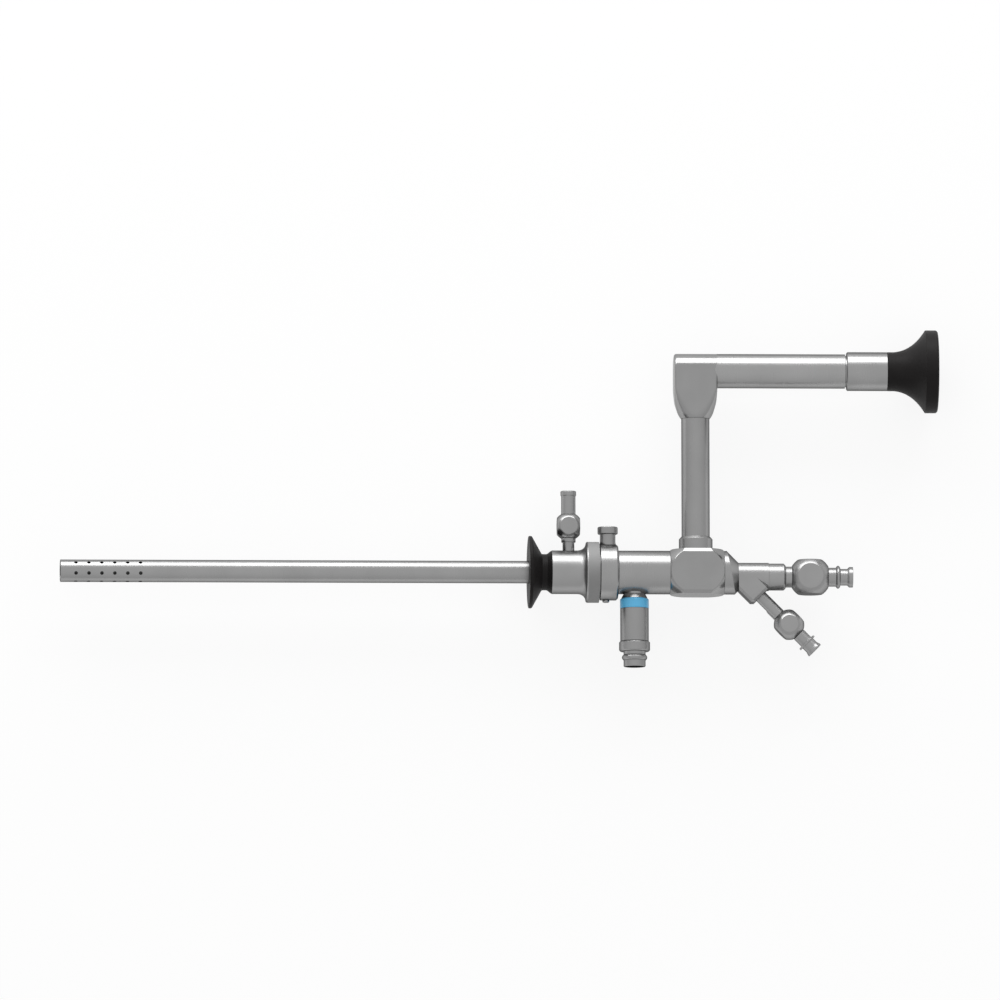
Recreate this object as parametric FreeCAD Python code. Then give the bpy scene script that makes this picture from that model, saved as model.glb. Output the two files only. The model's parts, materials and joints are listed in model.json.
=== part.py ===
"""Rigid percutaneous endoscope with an offset eyepiece, in millimetres.

The origin is on the sheath axis at the front face of the finger disc. +X runs along the shaft to
the eyepiece, +Y points to the offset ocular, and +Z is up while the instrument lies on its side.
"""
import math
import os

import FreeCAD
import Part

Vector = FreeCAD.Vector

# Clearances that every fit takes its second size from
SOLDER_GAP = 0.03
RUNNING_GAP = 0.05
PLUG_GAP = 0.03
LENS_GAP = 0.05
SEAL_GAP = 0.02
AXIAL_PLAY = 0.2

# Outer sheath
SHEATH_OD = 8.67
SHEATH_WALL = 0.35
SHEATH_REACH = 181.0
SHEATH_SEAT = 4.0
SHEATH_END_OD = 8.3
HOLE_DIAMETER = 1.4
HOLE_RINGS = 6
HOLES_PER_RING = 6
HOLE_PITCH = 5.0
HOLE_TIP_MARGIN = 5.9
HOLE_TURN = 17.5

# Finger disc
DISC_OD = 28.0
DISC_LAND = 1.2
DISC_RIM_ROUND = 0.35
DISC_CONE_LENGTH = 3.9
DISC_NECK_OD = 14.0
DISC_NECK_LENGTH = 2.0
DISC_FOOT_LENGTH = 1.8

# Sheath hub
HUB_OD = 16.85
HUB_LENGTH = 10.2
HUB_FILLET = 3.1
FLANGE_OD = 23.55
FLANGE_WIDTH = 5.0
FLANGE_CHAMFER = 0.5
HUB_BORE = 8.0
SPIGOT_LENGTH = 5.8
SPIGOT_CHAMFER = 0.5
SEAL_WIDTH = 1.5
SEAL_DEPTH = 0.8
SEAL_SETBACK = 1.6

# Lock ring, knob and guide screw
RING_GROOVE = 0.5
RING_OD = 21.7
RING_WIDTH = 6.8
RING_CHAMFER = 0.7
RING_WALL = 2.65
SOCKET_WALL = 1.6
RING_TRAVEL = 30.0
KNOB_SETBACK = 2.96
KNOB_HEAD_OD = 7.8
KNOB_HEAD_HEIGHT = 2.8
KNOB_NECK_OD = 6.0
KNOB_NECK_HEIGHT = 3.1
KNOB_FOOT_OD = 6.4
KNOB_FOOT_HEIGHT = 1.3
KNOB_STEM_OD = 3.0
KNOB_STEM_DEPTH = 1.6
KNOB_ROUND = 0.5
SCREW_SETBACK = 2.2
SCREW_HEAD_OD = 2.7
SCREW_HEAD_HEIGHT = 0.9
SCREW_SHANK_OD = 1.6
SCREW_TIP_DEPTH = 0.7
SCREW_SLOT_WIDTH = 0.5
SCREW_SLOT_DEPTH = 0.6
GUIDE_DEPTH = 1.0
GUIDE_SLACK = 3.0

# Telescope tube and block
TUBE_OD = 16.85
TUBE_WALL = 1.0
TUBE_LENGTH = 19.9
SOCKET_SEAT = 3.0
BLOCK_WIDTH = 17.5
BLOCK_LENGTH = 21.0
BLOCK_EDGE_CHAMFER = 1.3
BLOCK_TURNED_LENGTH = 5.6
BLOCK_TURNED_BULGE = 0.62
BLOCK_RUN_OUT = 0.3
BLOCK_SPIGOT = 4.0
NOSE_LENGTH = 5.5
NOSE_TIP_RADIUS = 5.5

# Shaft inside the sheath
SHAFT_OD = 7.2
SHAFT_WALL = 0.15
SHAFT_RECESS = 2.5
CHANNEL_BORE = 3.2
CHANNEL_WALL = 0.15
CHANNEL_DROP = 1.6
OPTIC_OD = 2.9
OPTIC_WALL = 0.12
OPTIC_RISE = 1.95
WINDOW_THICKNESS = 0.8
ROD_COUNT = 6
SPACER_LENGTH = 4.0
SPACER_WALL = 0.3

# Y body and working channel
Y_BODY_OD = 10.9
Y_BODY_LENGTH = 11.7
BOSS_WIDTH = 9.1
BOSS_SINK = 0.05
BOSS_REACH = 10.7
BOSS_CHAMFER = 1.0
BRANCH_SETBACK = 1.1
BRANCH_ANGLE = -45.0
SLEEVE_OD = 10.4
SLEEVE_LENGTH = 6.6
SLEEVE_CHAMFER = 0.8
SLEEVE_NECK_OD = 8.05
SLEEVE_NECK_LENGTH = 2.4
SLEEVE_SEAT = 3.0

# Channel valve, a ball body with flats and a plug from behind
CHANNEL_VALVE_BALL = 16.4
CHANNEL_VALVE_LENGTH = 14.1
CHANNEL_VALVE_FLATS = 13.3
CHANNEL_VALVE_PLUG = 6.4
CHANNEL_VALVE_WALL = 1.6
CHANNEL_LEVER_LENGTH = 13.0
CHANNEL_LEVER_WIDTH = 5.0

# Branch valve
BRANCH_TUBE_OD = 4.86
BRANCH_TUBE_LENGTH = 10.0
BRANCH_BORE = 2.4
BRANCH_VALVE_BALL = 11.8
BRANCH_VALVE_LENGTH = 10.9
BRANCH_VALVE_FLATS = 9.8
BRANCH_VALVE_PLUG = 4.6
BRANCH_VALVE_WALL = 1.3
BRANCH_LEVER_LENGTH = 11.0
BRANCH_LEVER_WIDTH = 3.6

# Irrigation valve on the sheath hub
IRRIGATION_SETBACK = 6.6
IRRIGATION_BORE = 2.2
IRRIGATION_NECK_OD = 4.55
IRRIGATION_COLLAR_OD = 5.55
IRRIGATION_COLLAR_START = 11.6
IRRIGATION_COLLAR_HEIGHT = 1.54
IRRIGATION_NECK_DEPTH = 3.4
IRRIGATION_VALVE_BALL = 11.0
IRRIGATION_VALVE_LENGTH = 9.32
IRRIGATION_VALVE_FLATS = 8.84
IRRIGATION_VALVE_PLUG = 4.2
IRRIGATION_VALVE_WALL = 1.2
IRRIGATION_LEVER_LENGTH = 11.5
IRRIGATION_LEVER_WIDTH = 3.8
HOSE_TUBE_OD = 5.55
HOSE_TUBE_LENGTH = 7.04
HOSE_LIP_OD = 6.05
HOSE_LIP_LENGTH = 2.0
HOSE_BORE = 3.6

# Retainer rings and levers, shared by the three valves
RETAINER_THICKNESS = 1.0
RETAINER_SHOULDER = 0.6
PLUG_NECK_SHARE = 0.6
LEVER_THICKNESS = 1.6
LEVER_GRIP_RISE = 1.8
LEVER_LIFT = 0.3
VALVE_SOCKET_DEPTH = 1.5

# Luer connectors
LUER_TAPER_RADIUS = 2.14
LUER_TAPER_DEPTH = 5.0
LUER_TAPER = 0.03
CHANNEL_LUER_NECK_OD = 7.3
CHANNEL_LUER_NECK_LENGTH = 2.9
CHANNEL_LUER_RING_OD = 8.9
CHANNEL_LUER_RING_LENGTH = 1.7
CHANNEL_LUER_GROOVE_OD = 6.4
CHANNEL_LUER_GROOVE_LENGTH = 2.7
CHANNEL_LUER_FLANGE_OD = 7.9
CHANNEL_LUER_FLANGE_LENGTH = 2.2
BRANCH_LUER_NECK_OD = 5.3
BRANCH_LUER_NECK_LENGTH = 3.95
BRANCH_LUER_RING_OD = 6.4
BRANCH_LUER_RING_LENGTH = 0.8
BRANCH_LUER_WAIST_OD = 5.6
BRANCH_LUER_WAIST_LENGTH = 2.15
BRANCH_LUER_MOUTH_OD = 6.4
BRANCH_LUER_MOUTH_LENGTH = 1.8
BRANCH_LUER_EAR_SPAN = 7.5
BRANCH_LUER_EAR_WIDTH = 2.4
BRANCH_LUER_EAR_ROUND = 0.8

# Light post
POST_SETBACK = 6.24
POST_BASE_OD = 8.4
POST_BASE_FLARE_OD = 10.2
POST_BASE_END = 10.1
POST_BASE_EDGE = 0.3
POST_BORE = 3.3
POST_THREAD_END = 2.0
COLOUR_RING_OD = 11.2
COLOUR_RING_HEIGHT = 3.87
COLOUR_RING_CHAMFER = 0.5
POST_OD = 11.0
POST_END = 26.7
POST_CORE_OD = 7.0
ADAPTOR_OD = 11.96
ADAPTOR_END = 30.7
ADAPTOR_CHAMFER = 0.5
ADAPTOR_TIP_CHAMFER = 0.2
ADAPTOR_NECK_OD = 8.5
ADAPTOR_TIP_END = 36.6
SNAP_RING_START = 32.0
SNAP_RING_OD = 9.8
SNAP_RING_WIDTH = 2.1
SNAP_RING_DEPTH = 0.7
FIBRE_OD = 3.2
FIBRE_BEND = 2.6
LIGHT_WINDOW_OD = 7.4
LIGHT_WINDOW_THICKNESS = 1.2
LIGHT_WINDOW_RECESS = 0.8

# Ocular arm
ARM_SETBACK = 10.1
ARM_COLLAR_OD = 13.0
ARM_COLLAR_HEIGHT = 4.15
ARM_COLLAR_CHAMFER = 1.0
ARM_TUBE_OD = 10.88
ARM_TUBE_WALL = 1.2
ARM_TUBE_TOP = 59.7
PRISM_MARGIN = 0.2
RELAY_COUNT = 3
RELAY_THICKNESS = 4.0
RELAY_PITCH = 14.0
RELAY_START = 20.0

# Elbow housing
OCULAR_RISE = 78.3
ELBOW_FOOT_RADIUS = 5.6
ELBOW_SHOULDER_RADIUS = 6.64
ELBOW_SHOULDER_RISE = 1.4
ELBOW_KNEE_HALF_WIDTH = 7.97
ELBOW_KNEE_CORNER = 4.0
ELBOW_KNEE_RISE = 6.0
ELBOW_HALF_WIDTH = 8.3
ELBOW_CORNER = 1.0
ELBOW_ROOT_RISE = 11.0
ELBOW_END_ROUND = 1.0
ELBOW_SEAM = 0.1
ELBOW_BORE = 6.0

# Ocular tube, sleeve and eyepiece cup
OCULAR_OD = 13.24
OCULAR_WALL = 1.0
OCULAR_END_SETBACK = 57.8
OCULAR_GROOVE = 0.6
OCULAR_SLEEVE_OD = 14.98
OCULAR_SLEEVE_LENGTH = 15.7
OCULAR_SLEEVE_CHAMFER = 0.4
OCULAR_SLEEVE_BORE = 11.0
CUP_OD = 32.0
CUP_NECK_OD = 15.06
CUP_NECK_LENGTH = 2.5
CUP_FLARE_LENGTH = 12.2
CUP_RIM_LENGTH = 4.2
CUP_RIM_ROUND = 0.6
CUP_SPIGOT_LENGTH = 4.0
CUP_BORE = 8.0
CUP_RECESS_DEPTH = 5.2
CUP_RECESS_MOUTH_OD = 27.0
CUP_RECESS_FLOOR_OD = 16.0
OCULAR_WINDOW_OD = 9.6
OCULAR_WINDOW_THICKNESS = 1.5
OCULAR_LENS_THICKNESS = 4.5
OCULAR_LENS_CURVE = 9.0

# Diameters of the lock, from the ring inwards
RING_BEARING_OD = RING_OD - 2 * RING_WALL
SPIGOT_OD = RING_BEARING_OD - 2 * SOCKET_WALL

# Stations along the shaft, worked out from the sizes above
HUB_START = DISC_LAND + DISC_CONE_LENGTH + DISC_NECK_LENGTH + DISC_FOOT_LENGTH
FLANGE_START = HUB_START + HUB_LENGTH + HUB_FILLET
FLANGE_END = FLANGE_START + FLANGE_WIDTH
RING_START = FLANGE_END + RING_GROOVE
RING_END = RING_START + RING_WIDTH
TUBE_START = RING_END + AXIAL_PLAY
TUBE_END = TUBE_START + TUBE_LENGTH
BLOCK_END = TUBE_END + BLOCK_LENGTH
NOSE_END = BLOCK_END + NOSE_LENGTH
Y_BODY_END = NOSE_END + Y_BODY_LENGTH
SLEEVE_END = Y_BODY_END + SLEEVE_LENGTH + SLEEVE_NECK_LENGTH
CHANNEL_VALVE_X = SLEEVE_END + CHANNEL_VALVE_LENGTH / 2
ARM_X = TUBE_END + ARM_SETBACK
POST_X = TUBE_START + POST_SETBACK
IRRIGATION_X = HUB_START + IRRIGATION_SETBACK
SHAFT_TIP = -SHEATH_REACH + SHAFT_RECESS
OPTIC_END = ARM_X - OPTIC_OD / 2 - SOLDER_GAP
LENS_ROOM = OPTIC_END - AXIAL_PLAY - SHAFT_TIP - WINDOW_THICKNESS
ROD_LENGTH = (LENS_ROOM - (ROD_COUNT + 1) * SPACER_LENGTH) / ROD_COUNT
CHANNEL_OD = CHANNEL_BORE + 2 * CHANNEL_WALL
OCULAR_END = ARM_X + OCULAR_END_SETBACK
SLEEVE_START = OCULAR_END + OCULAR_GROOVE
CUP_START = SLEEVE_START + OCULAR_SLEEVE_LENGTH
CUP_END = CUP_START + CUP_NECK_LENGTH + CUP_FLARE_LENGTH + CUP_RIM_LENGTH + CUP_RIM_ROUND


class Outline:
    """Half section of a turned piece, as stations along its axis and radii from it."""

    def __init__(self, station, radius):
        self.start = Vector(station, radius, 0)
        self.at = self.start
        self.edges = []

    def line(self, station, radius):
        """Adds a straight stretch to a station and radius."""
        end = Vector(station, radius, 0)
        if end.distanceToPoint(self.at) > 1e-6:
            self.edges.append(Part.LineSegment(self.at, end).toShape())
        self.at = end
        return self

    def arc(self, middle_station, middle_radius, station, radius):
        """Adds an arc through a middle point to a station and radius."""
        middle = Vector(middle_station, middle_radius, 0)
        end = Vector(station, radius, 0)
        self.edges.append(Part.Arc(self.at, middle, end).toShape())
        self.at = end
        return self

    def turned(self):
        """Closes the outline and turns it about the axis into a solid."""
        self.line(self.start.x, self.start.y)
        face = Part.Face(Part.Wire(self.edges))
        return face.revolve(Vector(0, 0, 0), Vector(1, 0, 0), 360)


def rod(start, end, diameter, drop=0.0):
    """Round bar along X from one station to another, on an axis lowered by drop."""
    return Part.makeCylinder(diameter / 2, end - start, Vector(start, -drop, 0), Vector(1, 0, 0))


def pipe(start, end, outer, inner, drop=0.0):
    """Round tube along X, bored through."""
    return rod(start, end, outer, drop).cut(rod(start, end, inner, drop))


def placed(shape, x, y, turn=0.0):
    """Turns a piece about +Z by an angle in degrees, then moves its origin to x and y."""
    turned_shape = shape.copy()
    turned_shape.rotate(Vector(0, 0, 0), Vector(0, 0, 1), turn)
    turned_shape.translate(Vector(x, y, 0))
    return turned_shape


def centred_box(length, width, depth, x=0.0, y=0.0, z=0.0):
    """Box centred on a point."""
    corner = Vector(x - length / 2, y - width / 2, z - depth / 2)
    return Part.makeBox(length, width, depth, corner)


def outer_sheath_tube():
    """Thin tube with rings of drain holes near its open tip, turned down where it is soldered in."""
    bore = SHEATH_OD - 2 * SHEATH_WALL
    reach = pipe(-SHEATH_REACH, 0, SHEATH_OD, bore)
    tube = reach.fuse(pipe(0, HUB_START + SHEATH_SEAT, SHEATH_END_OD, bore))
    drills = []
    for ring in range(HOLE_RINGS):
        station = -SHEATH_REACH + HOLE_TIP_MARGIN + ring * HOLE_PITCH
        for row in range(HOLES_PER_RING):
            angle = math.radians(HOLE_TURN + row * 360 / HOLES_PER_RING)
            out = Vector(0, -math.sin(angle), math.cos(angle))
            drills.append(Part.makeCylinder(HOLE_DIAMETER / 2, SHEATH_OD, Vector(station, 0, 0), out))
    return tube.cut(drills)


def finger_disc():
    """Black disc with a coned back, pushed over the tube against the hub."""
    bore = SHEATH_END_OD / 2 + SOLDER_GAP
    rim = DISC_OD / 2
    neck = DISC_NECK_OD / 2
    neck_start = DISC_LAND + DISC_CONE_LENGTH
    edge = DISC_RIM_ROUND * (1 - math.sqrt(0.5))
    outline = Outline(0, bore).line(0, rim - DISC_RIM_ROUND)
    outline.arc(edge, rim - edge, DISC_RIM_ROUND, rim)
    outline.line(DISC_LAND, rim)
    outline.line(neck_start, neck)
    outline.line(neck_start + DISC_NECK_LENGTH, neck)
    outline.line(HUB_START, HUB_OD / 2)
    outline.line(HUB_START, bore)
    return outline.turned()


def sheath_hub():
    """Turned hub with a flange, and a spigot with a seal groove that enters the socket."""
    hub = HUB_OD / 2
    flange = FLANGE_OD / 2
    spigot = SPIGOT_OD / 2
    fillet_start = FLANGE_START - HUB_FILLET
    spigot_end = FLANGE_END + SPIGOT_LENGTH
    groove_end = spigot_end - SEAL_SETBACK
    groove_start = groove_end - SEAL_WIDTH
    lean = HUB_FILLET * math.sqrt(0.5)
    outline = Outline(HUB_START, SHEATH_END_OD / 2 + SOLDER_GAP)
    outline.line(HUB_START, hub)
    outline.line(fillet_start, hub)
    outline.arc(fillet_start + lean, hub + HUB_FILLET - lean, FLANGE_START, hub + HUB_FILLET)
    outline.line(FLANGE_START, flange - FLANGE_CHAMFER)
    outline.line(FLANGE_START + FLANGE_CHAMFER, flange)
    outline.line(FLANGE_END, flange)
    outline.line(FLANGE_END, spigot)
    outline.line(groove_start, spigot)
    outline.line(groove_start, spigot - SEAL_DEPTH)
    outline.line(groove_end, spigot - SEAL_DEPTH)
    outline.line(groove_end, spigot)
    outline.line(spigot_end - SPIGOT_CHAMFER, spigot)
    outline.line(spigot_end, spigot - SPIGOT_CHAMFER)
    outline.line(spigot_end, HUB_BORE / 2)
    outline.line(HUB_START + SHEATH_SEAT, HUB_BORE / 2)
    outline.line(HUB_START + SHEATH_SEAT, SHEATH_END_OD / 2 + SOLDER_GAP)
    neck = IRRIGATION_NECK_OD + 2 * SOLDER_GAP
    port = placed(rod(0, HUB_OD, neck), IRRIGATION_X, 0, 90)
    return outline.turned().cut(port)


def hub_seal_ring():
    """Rubber ring in the spigot's groove, squeezed between groove and socket."""
    end = FLANGE_END + SPIGOT_LENGTH - SEAL_SETBACK
    inner = SPIGOT_OD / 2 - SEAL_DEPTH + SEAL_GAP
    outer = SPIGOT_OD / 2 + SOLDER_GAP - SEAL_GAP / 2
    start = end - SEAL_WIDTH
    return rounded_ring(start + SEAL_GAP, end - SEAL_GAP, inner, outer)


def rounded_ring(start, end, inner, outer):
    """Ring with a rounded back, on the X axis."""
    middle = (start + end) / 2
    edge = (outer - inner) * 0.4
    outline = Outline(start, inner).line(start, outer - edge)
    outline.arc(middle, outer, end, outer - edge)
    outline.line(end, inner)
    return outline.turned()


def irrigation_neck():
    """Neck soldered into the hub, with the collar under the irrigation valve."""
    foot = HUB_OD / 2 - IRRIGATION_NECK_DEPTH
    collar_end = IRRIGATION_COLLAR_START + IRRIGATION_COLLAR_HEIGHT
    collar = IRRIGATION_COLLAR_OD / 2
    bore = IRRIGATION_BORE / 2
    outline = Outline(foot, bore).line(foot, IRRIGATION_NECK_OD / 2)
    outline.line(IRRIGATION_COLLAR_START, IRRIGATION_NECK_OD / 2)
    outline.line(IRRIGATION_COLLAR_START, collar)
    outline.line(collar_end, collar)
    outline.line(collar_end, bore)
    return placed(outline.turned(), IRRIGATION_X, 0, 90)


def valve_neck(plug):
    """Diameter of the plug's neck where it passes the retainer ring."""
    return plug * PLUG_NECK_SHARE


def valve_body(ball, length, flats, plug, wall, bore):
    """Ball with four flats and two faced ends, bored along X and from behind for its plug."""
    body = Part.makeSphere(ball / 2).common(centred_box(length, flats, flats))
    body = body.cut(rod(-length, length, bore))
    seat = plug / 2 + PLUG_GAP
    depth = flats - wall
    body = body.cut(Part.makeCylinder(seat, depth, Vector(0, 0, -flats / 2)))
    ring_seat = seat + RETAINER_SHOULDER
    return body.cut(Part.makeCylinder(ring_seat, RETAINER_THICKNESS, Vector(0, 0, -flats / 2)))


def valve_plug(flats, plug, wall, bore):
    """Plug with a cross bore, and a neck that passes the retainer and carries the lever."""
    top = flats / 2 - wall - PLUG_GAP
    shoulder = -flats / 2 + RETAINER_THICKNESS + PLUG_GAP
    tail = -flats / 2 - LEVER_LIFT - LEVER_THICKNESS
    solid = Part.makeCylinder(plug / 2, top - shoulder, Vector(0, 0, shoulder))
    solid = solid.cut(rod(-plug, plug, bore))
    neck = Part.makeCylinder(valve_neck(plug) / 2, shoulder - tail, Vector(0, 0, tail))
    return solid.fuse(neck).removeSplitter()


def valve_retainer(flats, plug):
    """Ring screwed into the back of a valve body, which keeps the plug in."""
    outer = plug / 2 + PLUG_GAP + RETAINER_SHOULDER - SOLDER_GAP
    inner = valve_neck(plug) / 2 + PLUG_GAP
    back = Vector(0, 0, -flats / 2)
    ring = Part.makeCylinder(outer, RETAINER_THICKNESS, back)
    return ring.cut(Part.makeCylinder(inner, RETAINER_THICKNESS, back))


def valve_lever(flats, plug, length, width):
    """Lever with a round hub on the plug's neck, and a grip that rises away from the body."""
    face = -flats / 2 - LEVER_LIFT
    hub_radius = max(valve_neck(plug) / 2 + 1.1, width / 2)
    tip = length - width / 2
    hub = Part.makeCylinder(hub_radius, LEVER_THICKNESS, Vector(0, 0, face - LEVER_THICKNESS))
    arm = centred_box(tip, width, LEVER_THICKNESS, tip / 2, 0, face - LEVER_THICKNESS / 2)
    grip_height = LEVER_THICKNESS + LEVER_GRIP_RISE
    grip = Part.makeCylinder(width / 2, grip_height, Vector(tip, 0, face - grip_height))
    pad = centred_box(width, width, grip_height, tip - width / 2, 0, face - grip_height / 2)
    ramp_start = tip - width - LEVER_GRIP_RISE
    ramp = Part.makePolygon([
        Vector(ramp_start, -width / 2, face - LEVER_THICKNESS),
        Vector(tip - width, -width / 2, face - LEVER_THICKNESS),
        Vector(tip - width, -width / 2, face - grip_height),
        Vector(ramp_start, -width / 2, face - LEVER_THICKNESS),
    ])
    ramp = Part.Face(ramp).extrude(Vector(0, width, 0))
    lever = hub.fuse([arm, grip, pad, ramp]).removeSplitter()
    hole = valve_neck(plug) / 2 + SEAL_GAP
    return lever.cut(Part.makeCylinder(hole, LEVER_THICKNESS, Vector(0, 0, face - LEVER_THICKNESS)))


def valve(name, sizes, bore, lever_length, lever_width, x, y, turn, lever_turn):
    """The four pieces of one valve, set on its tube with the lever pointing along lever_turn."""
    ball, length, flats, plug, wall = sizes
    body = valve_body(ball, length, flats, plug, wall, bore)
    lever = valve_lever(flats, plug, lever_length, lever_width)
    return {
        f"{name}_valve_body": placed(body, x, y, turn),
        f"{name}_valve_plug": placed(valve_plug(flats, plug, wall, bore), x, y, turn),
        f"{name}_valve_retainer": placed(valve_retainer(flats, plug), x, y, turn),
        f"{name}_valve_lever": placed(lever, x, y, lever_turn),
    }


def irrigation_valve_y():
    """Height of the irrigation valve's centre over the shaft axis."""
    return IRRIGATION_COLLAR_START + IRRIGATION_COLLAR_HEIGHT + IRRIGATION_VALVE_LENGTH / 2


def irrigation_valve():
    """Irrigation valve above the hub, with its lever up along the hose connector."""
    sizes = (IRRIGATION_VALVE_BALL, IRRIGATION_VALVE_LENGTH, IRRIGATION_VALVE_FLATS,
             IRRIGATION_VALVE_PLUG, IRRIGATION_VALVE_WALL)
    return valve("irrigation", sizes, IRRIGATION_BORE, IRRIGATION_LEVER_LENGTH,
                 IRRIGATION_LEVER_WIDTH, IRRIGATION_X, irrigation_valve_y(), 90, 90)


def irrigation_hose_connector():
    """Plain tube with a low lip, which the irrigation hose is pushed over."""
    tube = HOSE_TUBE_OD / 2
    lip = HOSE_LIP_OD / 2
    lip_start = HOSE_TUBE_LENGTH
    end = HOSE_TUBE_LENGTH + HOSE_LIP_LENGTH
    edge = lip - tube
    outline = Outline(0, HOSE_BORE / 2).line(0, tube)
    outline.line(lip_start, tube)
    outline.line(lip_start + edge, lip)
    outline.line(end - edge, lip)
    outline.line(end, tube)
    outline.line(end, HOSE_BORE / 2)
    foot = irrigation_valve_y() + IRRIGATION_VALVE_LENGTH / 2
    return placed(outline.turned(), IRRIGATION_X, foot, 90)


def lock_ring():
    """Ring that turns on the socket, with the knob's seat on top and the guide screw below."""
    outer = RING_OD / 2
    inner = RING_BEARING_OD / 2 + RUNNING_GAP
    outline = Outline(RING_START, inner).line(RING_START, outer)
    outline.line(RING_END - RING_CHAMFER, outer)
    outline.line(RING_END, outer - RING_CHAMFER)
    outline.line(RING_END, inner)
    ring = outline.turned()
    stem = KNOB_STEM_OD + 2 * SOLDER_GAP
    knob_hole = placed(rod(outer - KNOB_STEM_DEPTH, outer, stem), knob_x(), 0, 90)
    seat = placed(rod(knob_foot(), RING_OD, KNOB_FOOT_OD + 2 * SOLDER_GAP), knob_x(), 0, 90)
    shank = SCREW_SHANK_OD + 2 * SOLDER_GAP
    screw_hole = placed(rod(0, RING_OD, shank), screw_x(), 0, -90)
    head_seat = placed(rod(screw_seat(), RING_OD, SCREW_HEAD_OD + 2 * SOLDER_GAP), screw_x(), 0, -90)
    return ring.cut([knob_hole, seat, screw_hole, head_seat])


def knob_x():
    """Station of the lock knob on the ring."""
    return RING_START + KNOB_SETBACK


def knob_foot():
    """Height where the knob's foot sits in its flat seat on the ring."""
    return math.sqrt((RING_OD / 2) ** 2 - (KNOB_FOOT_OD / 2) ** 2)


def lock_knob():
    """Mushroom knob with a stem screwed into the ring."""
    foot = knob_foot()
    neck_start = foot + KNOB_FOOT_HEIGHT
    head_start = neck_start + KNOB_NECK_HEIGHT
    head_end = head_start + KNOB_HEAD_HEIGHT
    head = KNOB_HEAD_OD / 2
    neck = KNOB_NECK_OD / 2
    stem_end = RING_OD / 2 - KNOB_STEM_DEPTH + SOLDER_GAP
    lean = KNOB_ROUND * (1 - math.sqrt(0.5))
    outline = Outline(stem_end, 0).line(stem_end, KNOB_STEM_OD / 2)
    outline.line(foot, KNOB_STEM_OD / 2)
    outline.line(foot, KNOB_FOOT_OD / 2)
    outline.line(neck_start, neck)
    outline.line(head_start, neck)
    outline.line(head_start, head - KNOB_ROUND)
    outline.arc(head_start + lean, head - lean, head_start + KNOB_ROUND, head)
    outline.line(head_end - KNOB_ROUND, head)
    outline.arc(head_end - lean, head - lean, head_end, head - KNOB_ROUND)
    outline.line(head_end, 0)
    return placed(outline.turned(), knob_x(), 0, 90)


def screw_x():
    """Station of the guide screw on the ring."""
    return RING_START + SCREW_SETBACK


def screw_seat():
    """Depth of the guide screw's head seat from the shaft axis."""
    return math.sqrt((RING_OD / 2) ** 2 - (SCREW_HEAD_OD / 2) ** 2)


def lock_screw():
    """Slotted screw through the ring, whose tip runs in the socket's guide slot."""
    seat = screw_seat()
    head_end = RING_OD / 2 + SCREW_HEAD_HEIGHT
    tip = RING_BEARING_OD / 2 - SCREW_TIP_DEPTH
    head = SCREW_HEAD_OD / 2
    chamfer = SCREW_HEAD_HEIGHT / 3
    outline = Outline(tip, 0).line(tip, SCREW_SHANK_OD / 2)
    outline.line(seat, SCREW_SHANK_OD / 2)
    outline.line(seat, head)
    outline.line(head_end - chamfer, head)
    outline.line(head_end, head - chamfer)
    outline.line(head_end, 0)
    slot = centred_box(SCREW_SLOT_DEPTH, SCREW_HEAD_OD, SCREW_SLOT_WIDTH, head_end - SCREW_SLOT_DEPTH / 2)
    return placed(outline.turned().cut(slot), screw_x(), 0, -90)


def lock_socket():
    """Socket that takes the sheath's spigot and carries the lock ring, with its guide slot."""
    bearing = RING_BEARING_OD / 2
    bore = SPIGOT_OD / 2 + SOLDER_GAP
    front = FLANGE_END
    floor = FLANGE_END + SPIGOT_LENGTH + AXIAL_PLAY
    seat = TUBE_OD / 2 - TUBE_WALL - SOLDER_GAP
    end = TUBE_START + SOCKET_SEAT
    shaft = SHAFT_OD / 2 + SOLDER_GAP
    outline = Outline(front, bore).line(front, bearing)
    outline.line(TUBE_START, bearing)
    outline.line(TUBE_START, seat)
    outline.line(end, seat)
    outline.line(end, shaft)
    outline.line(floor, shaft)
    outline.line(floor, bore)
    half_width = SCREW_SHANK_OD / 2 + 2 * RUNNING_GAP
    guide = Outline(screw_x() - half_width, bearing - GUIDE_DEPTH)
    guide.line(screw_x() - half_width, bearing + GUIDE_DEPTH)
    guide.line(screw_x() + half_width, bearing + GUIDE_DEPTH)
    guide.line(screw_x() + half_width, bearing - GUIDE_DEPTH)
    guide.line(screw_x() - half_width, bearing - GUIDE_DEPTH)
    slack = GUIDE_SLACK + math.degrees(half_width / bearing)
    sweep = RING_TRAVEL + 2 * slack
    face = Part.Face(Part.Wire(guide.edges))
    slot = face.revolve(Vector(0, 0, 0), Vector(1, 0, 0), sweep)
    slot.rotate(Vector(0, 0, 0), Vector(1, 0, 0), 180 - slack)
    return outline.turned().cut(slot)


def inner_shaft_tube():
    """Tube of the telescope inside the sheath, soldered into the socket."""
    return pipe(SHAFT_TIP, TUBE_START + SOCKET_SEAT, SHAFT_OD, SHAFT_OD - 2 * SHAFT_WALL)


def working_channel_tube():
    """Straight instrument channel from the tip to the Y body."""
    return pipe(SHAFT_TIP, NOSE_END + SLEEVE_SEAT, CHANNEL_OD, CHANNEL_BORE, CHANNEL_DROP)


def optic_tube():
    """Tube that holds the rod lenses above the working channel."""
    return pipe(SHAFT_TIP, OPTIC_END, OPTIC_OD, OPTIC_OD - 2 * OPTIC_WALL, -OPTIC_RISE)


def lens_diameter():
    """Diameter of the lenses that fit the optic tube."""
    return OPTIC_OD - 2 * OPTIC_WALL - 2 * LENS_GAP


def distal_window():
    """Sapphire window that closes the optic tube at the tip."""
    return rod(SHAFT_TIP, SHAFT_TIP + WINDOW_THICKNESS, lens_diameter(), -OPTIC_RISE)


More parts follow.
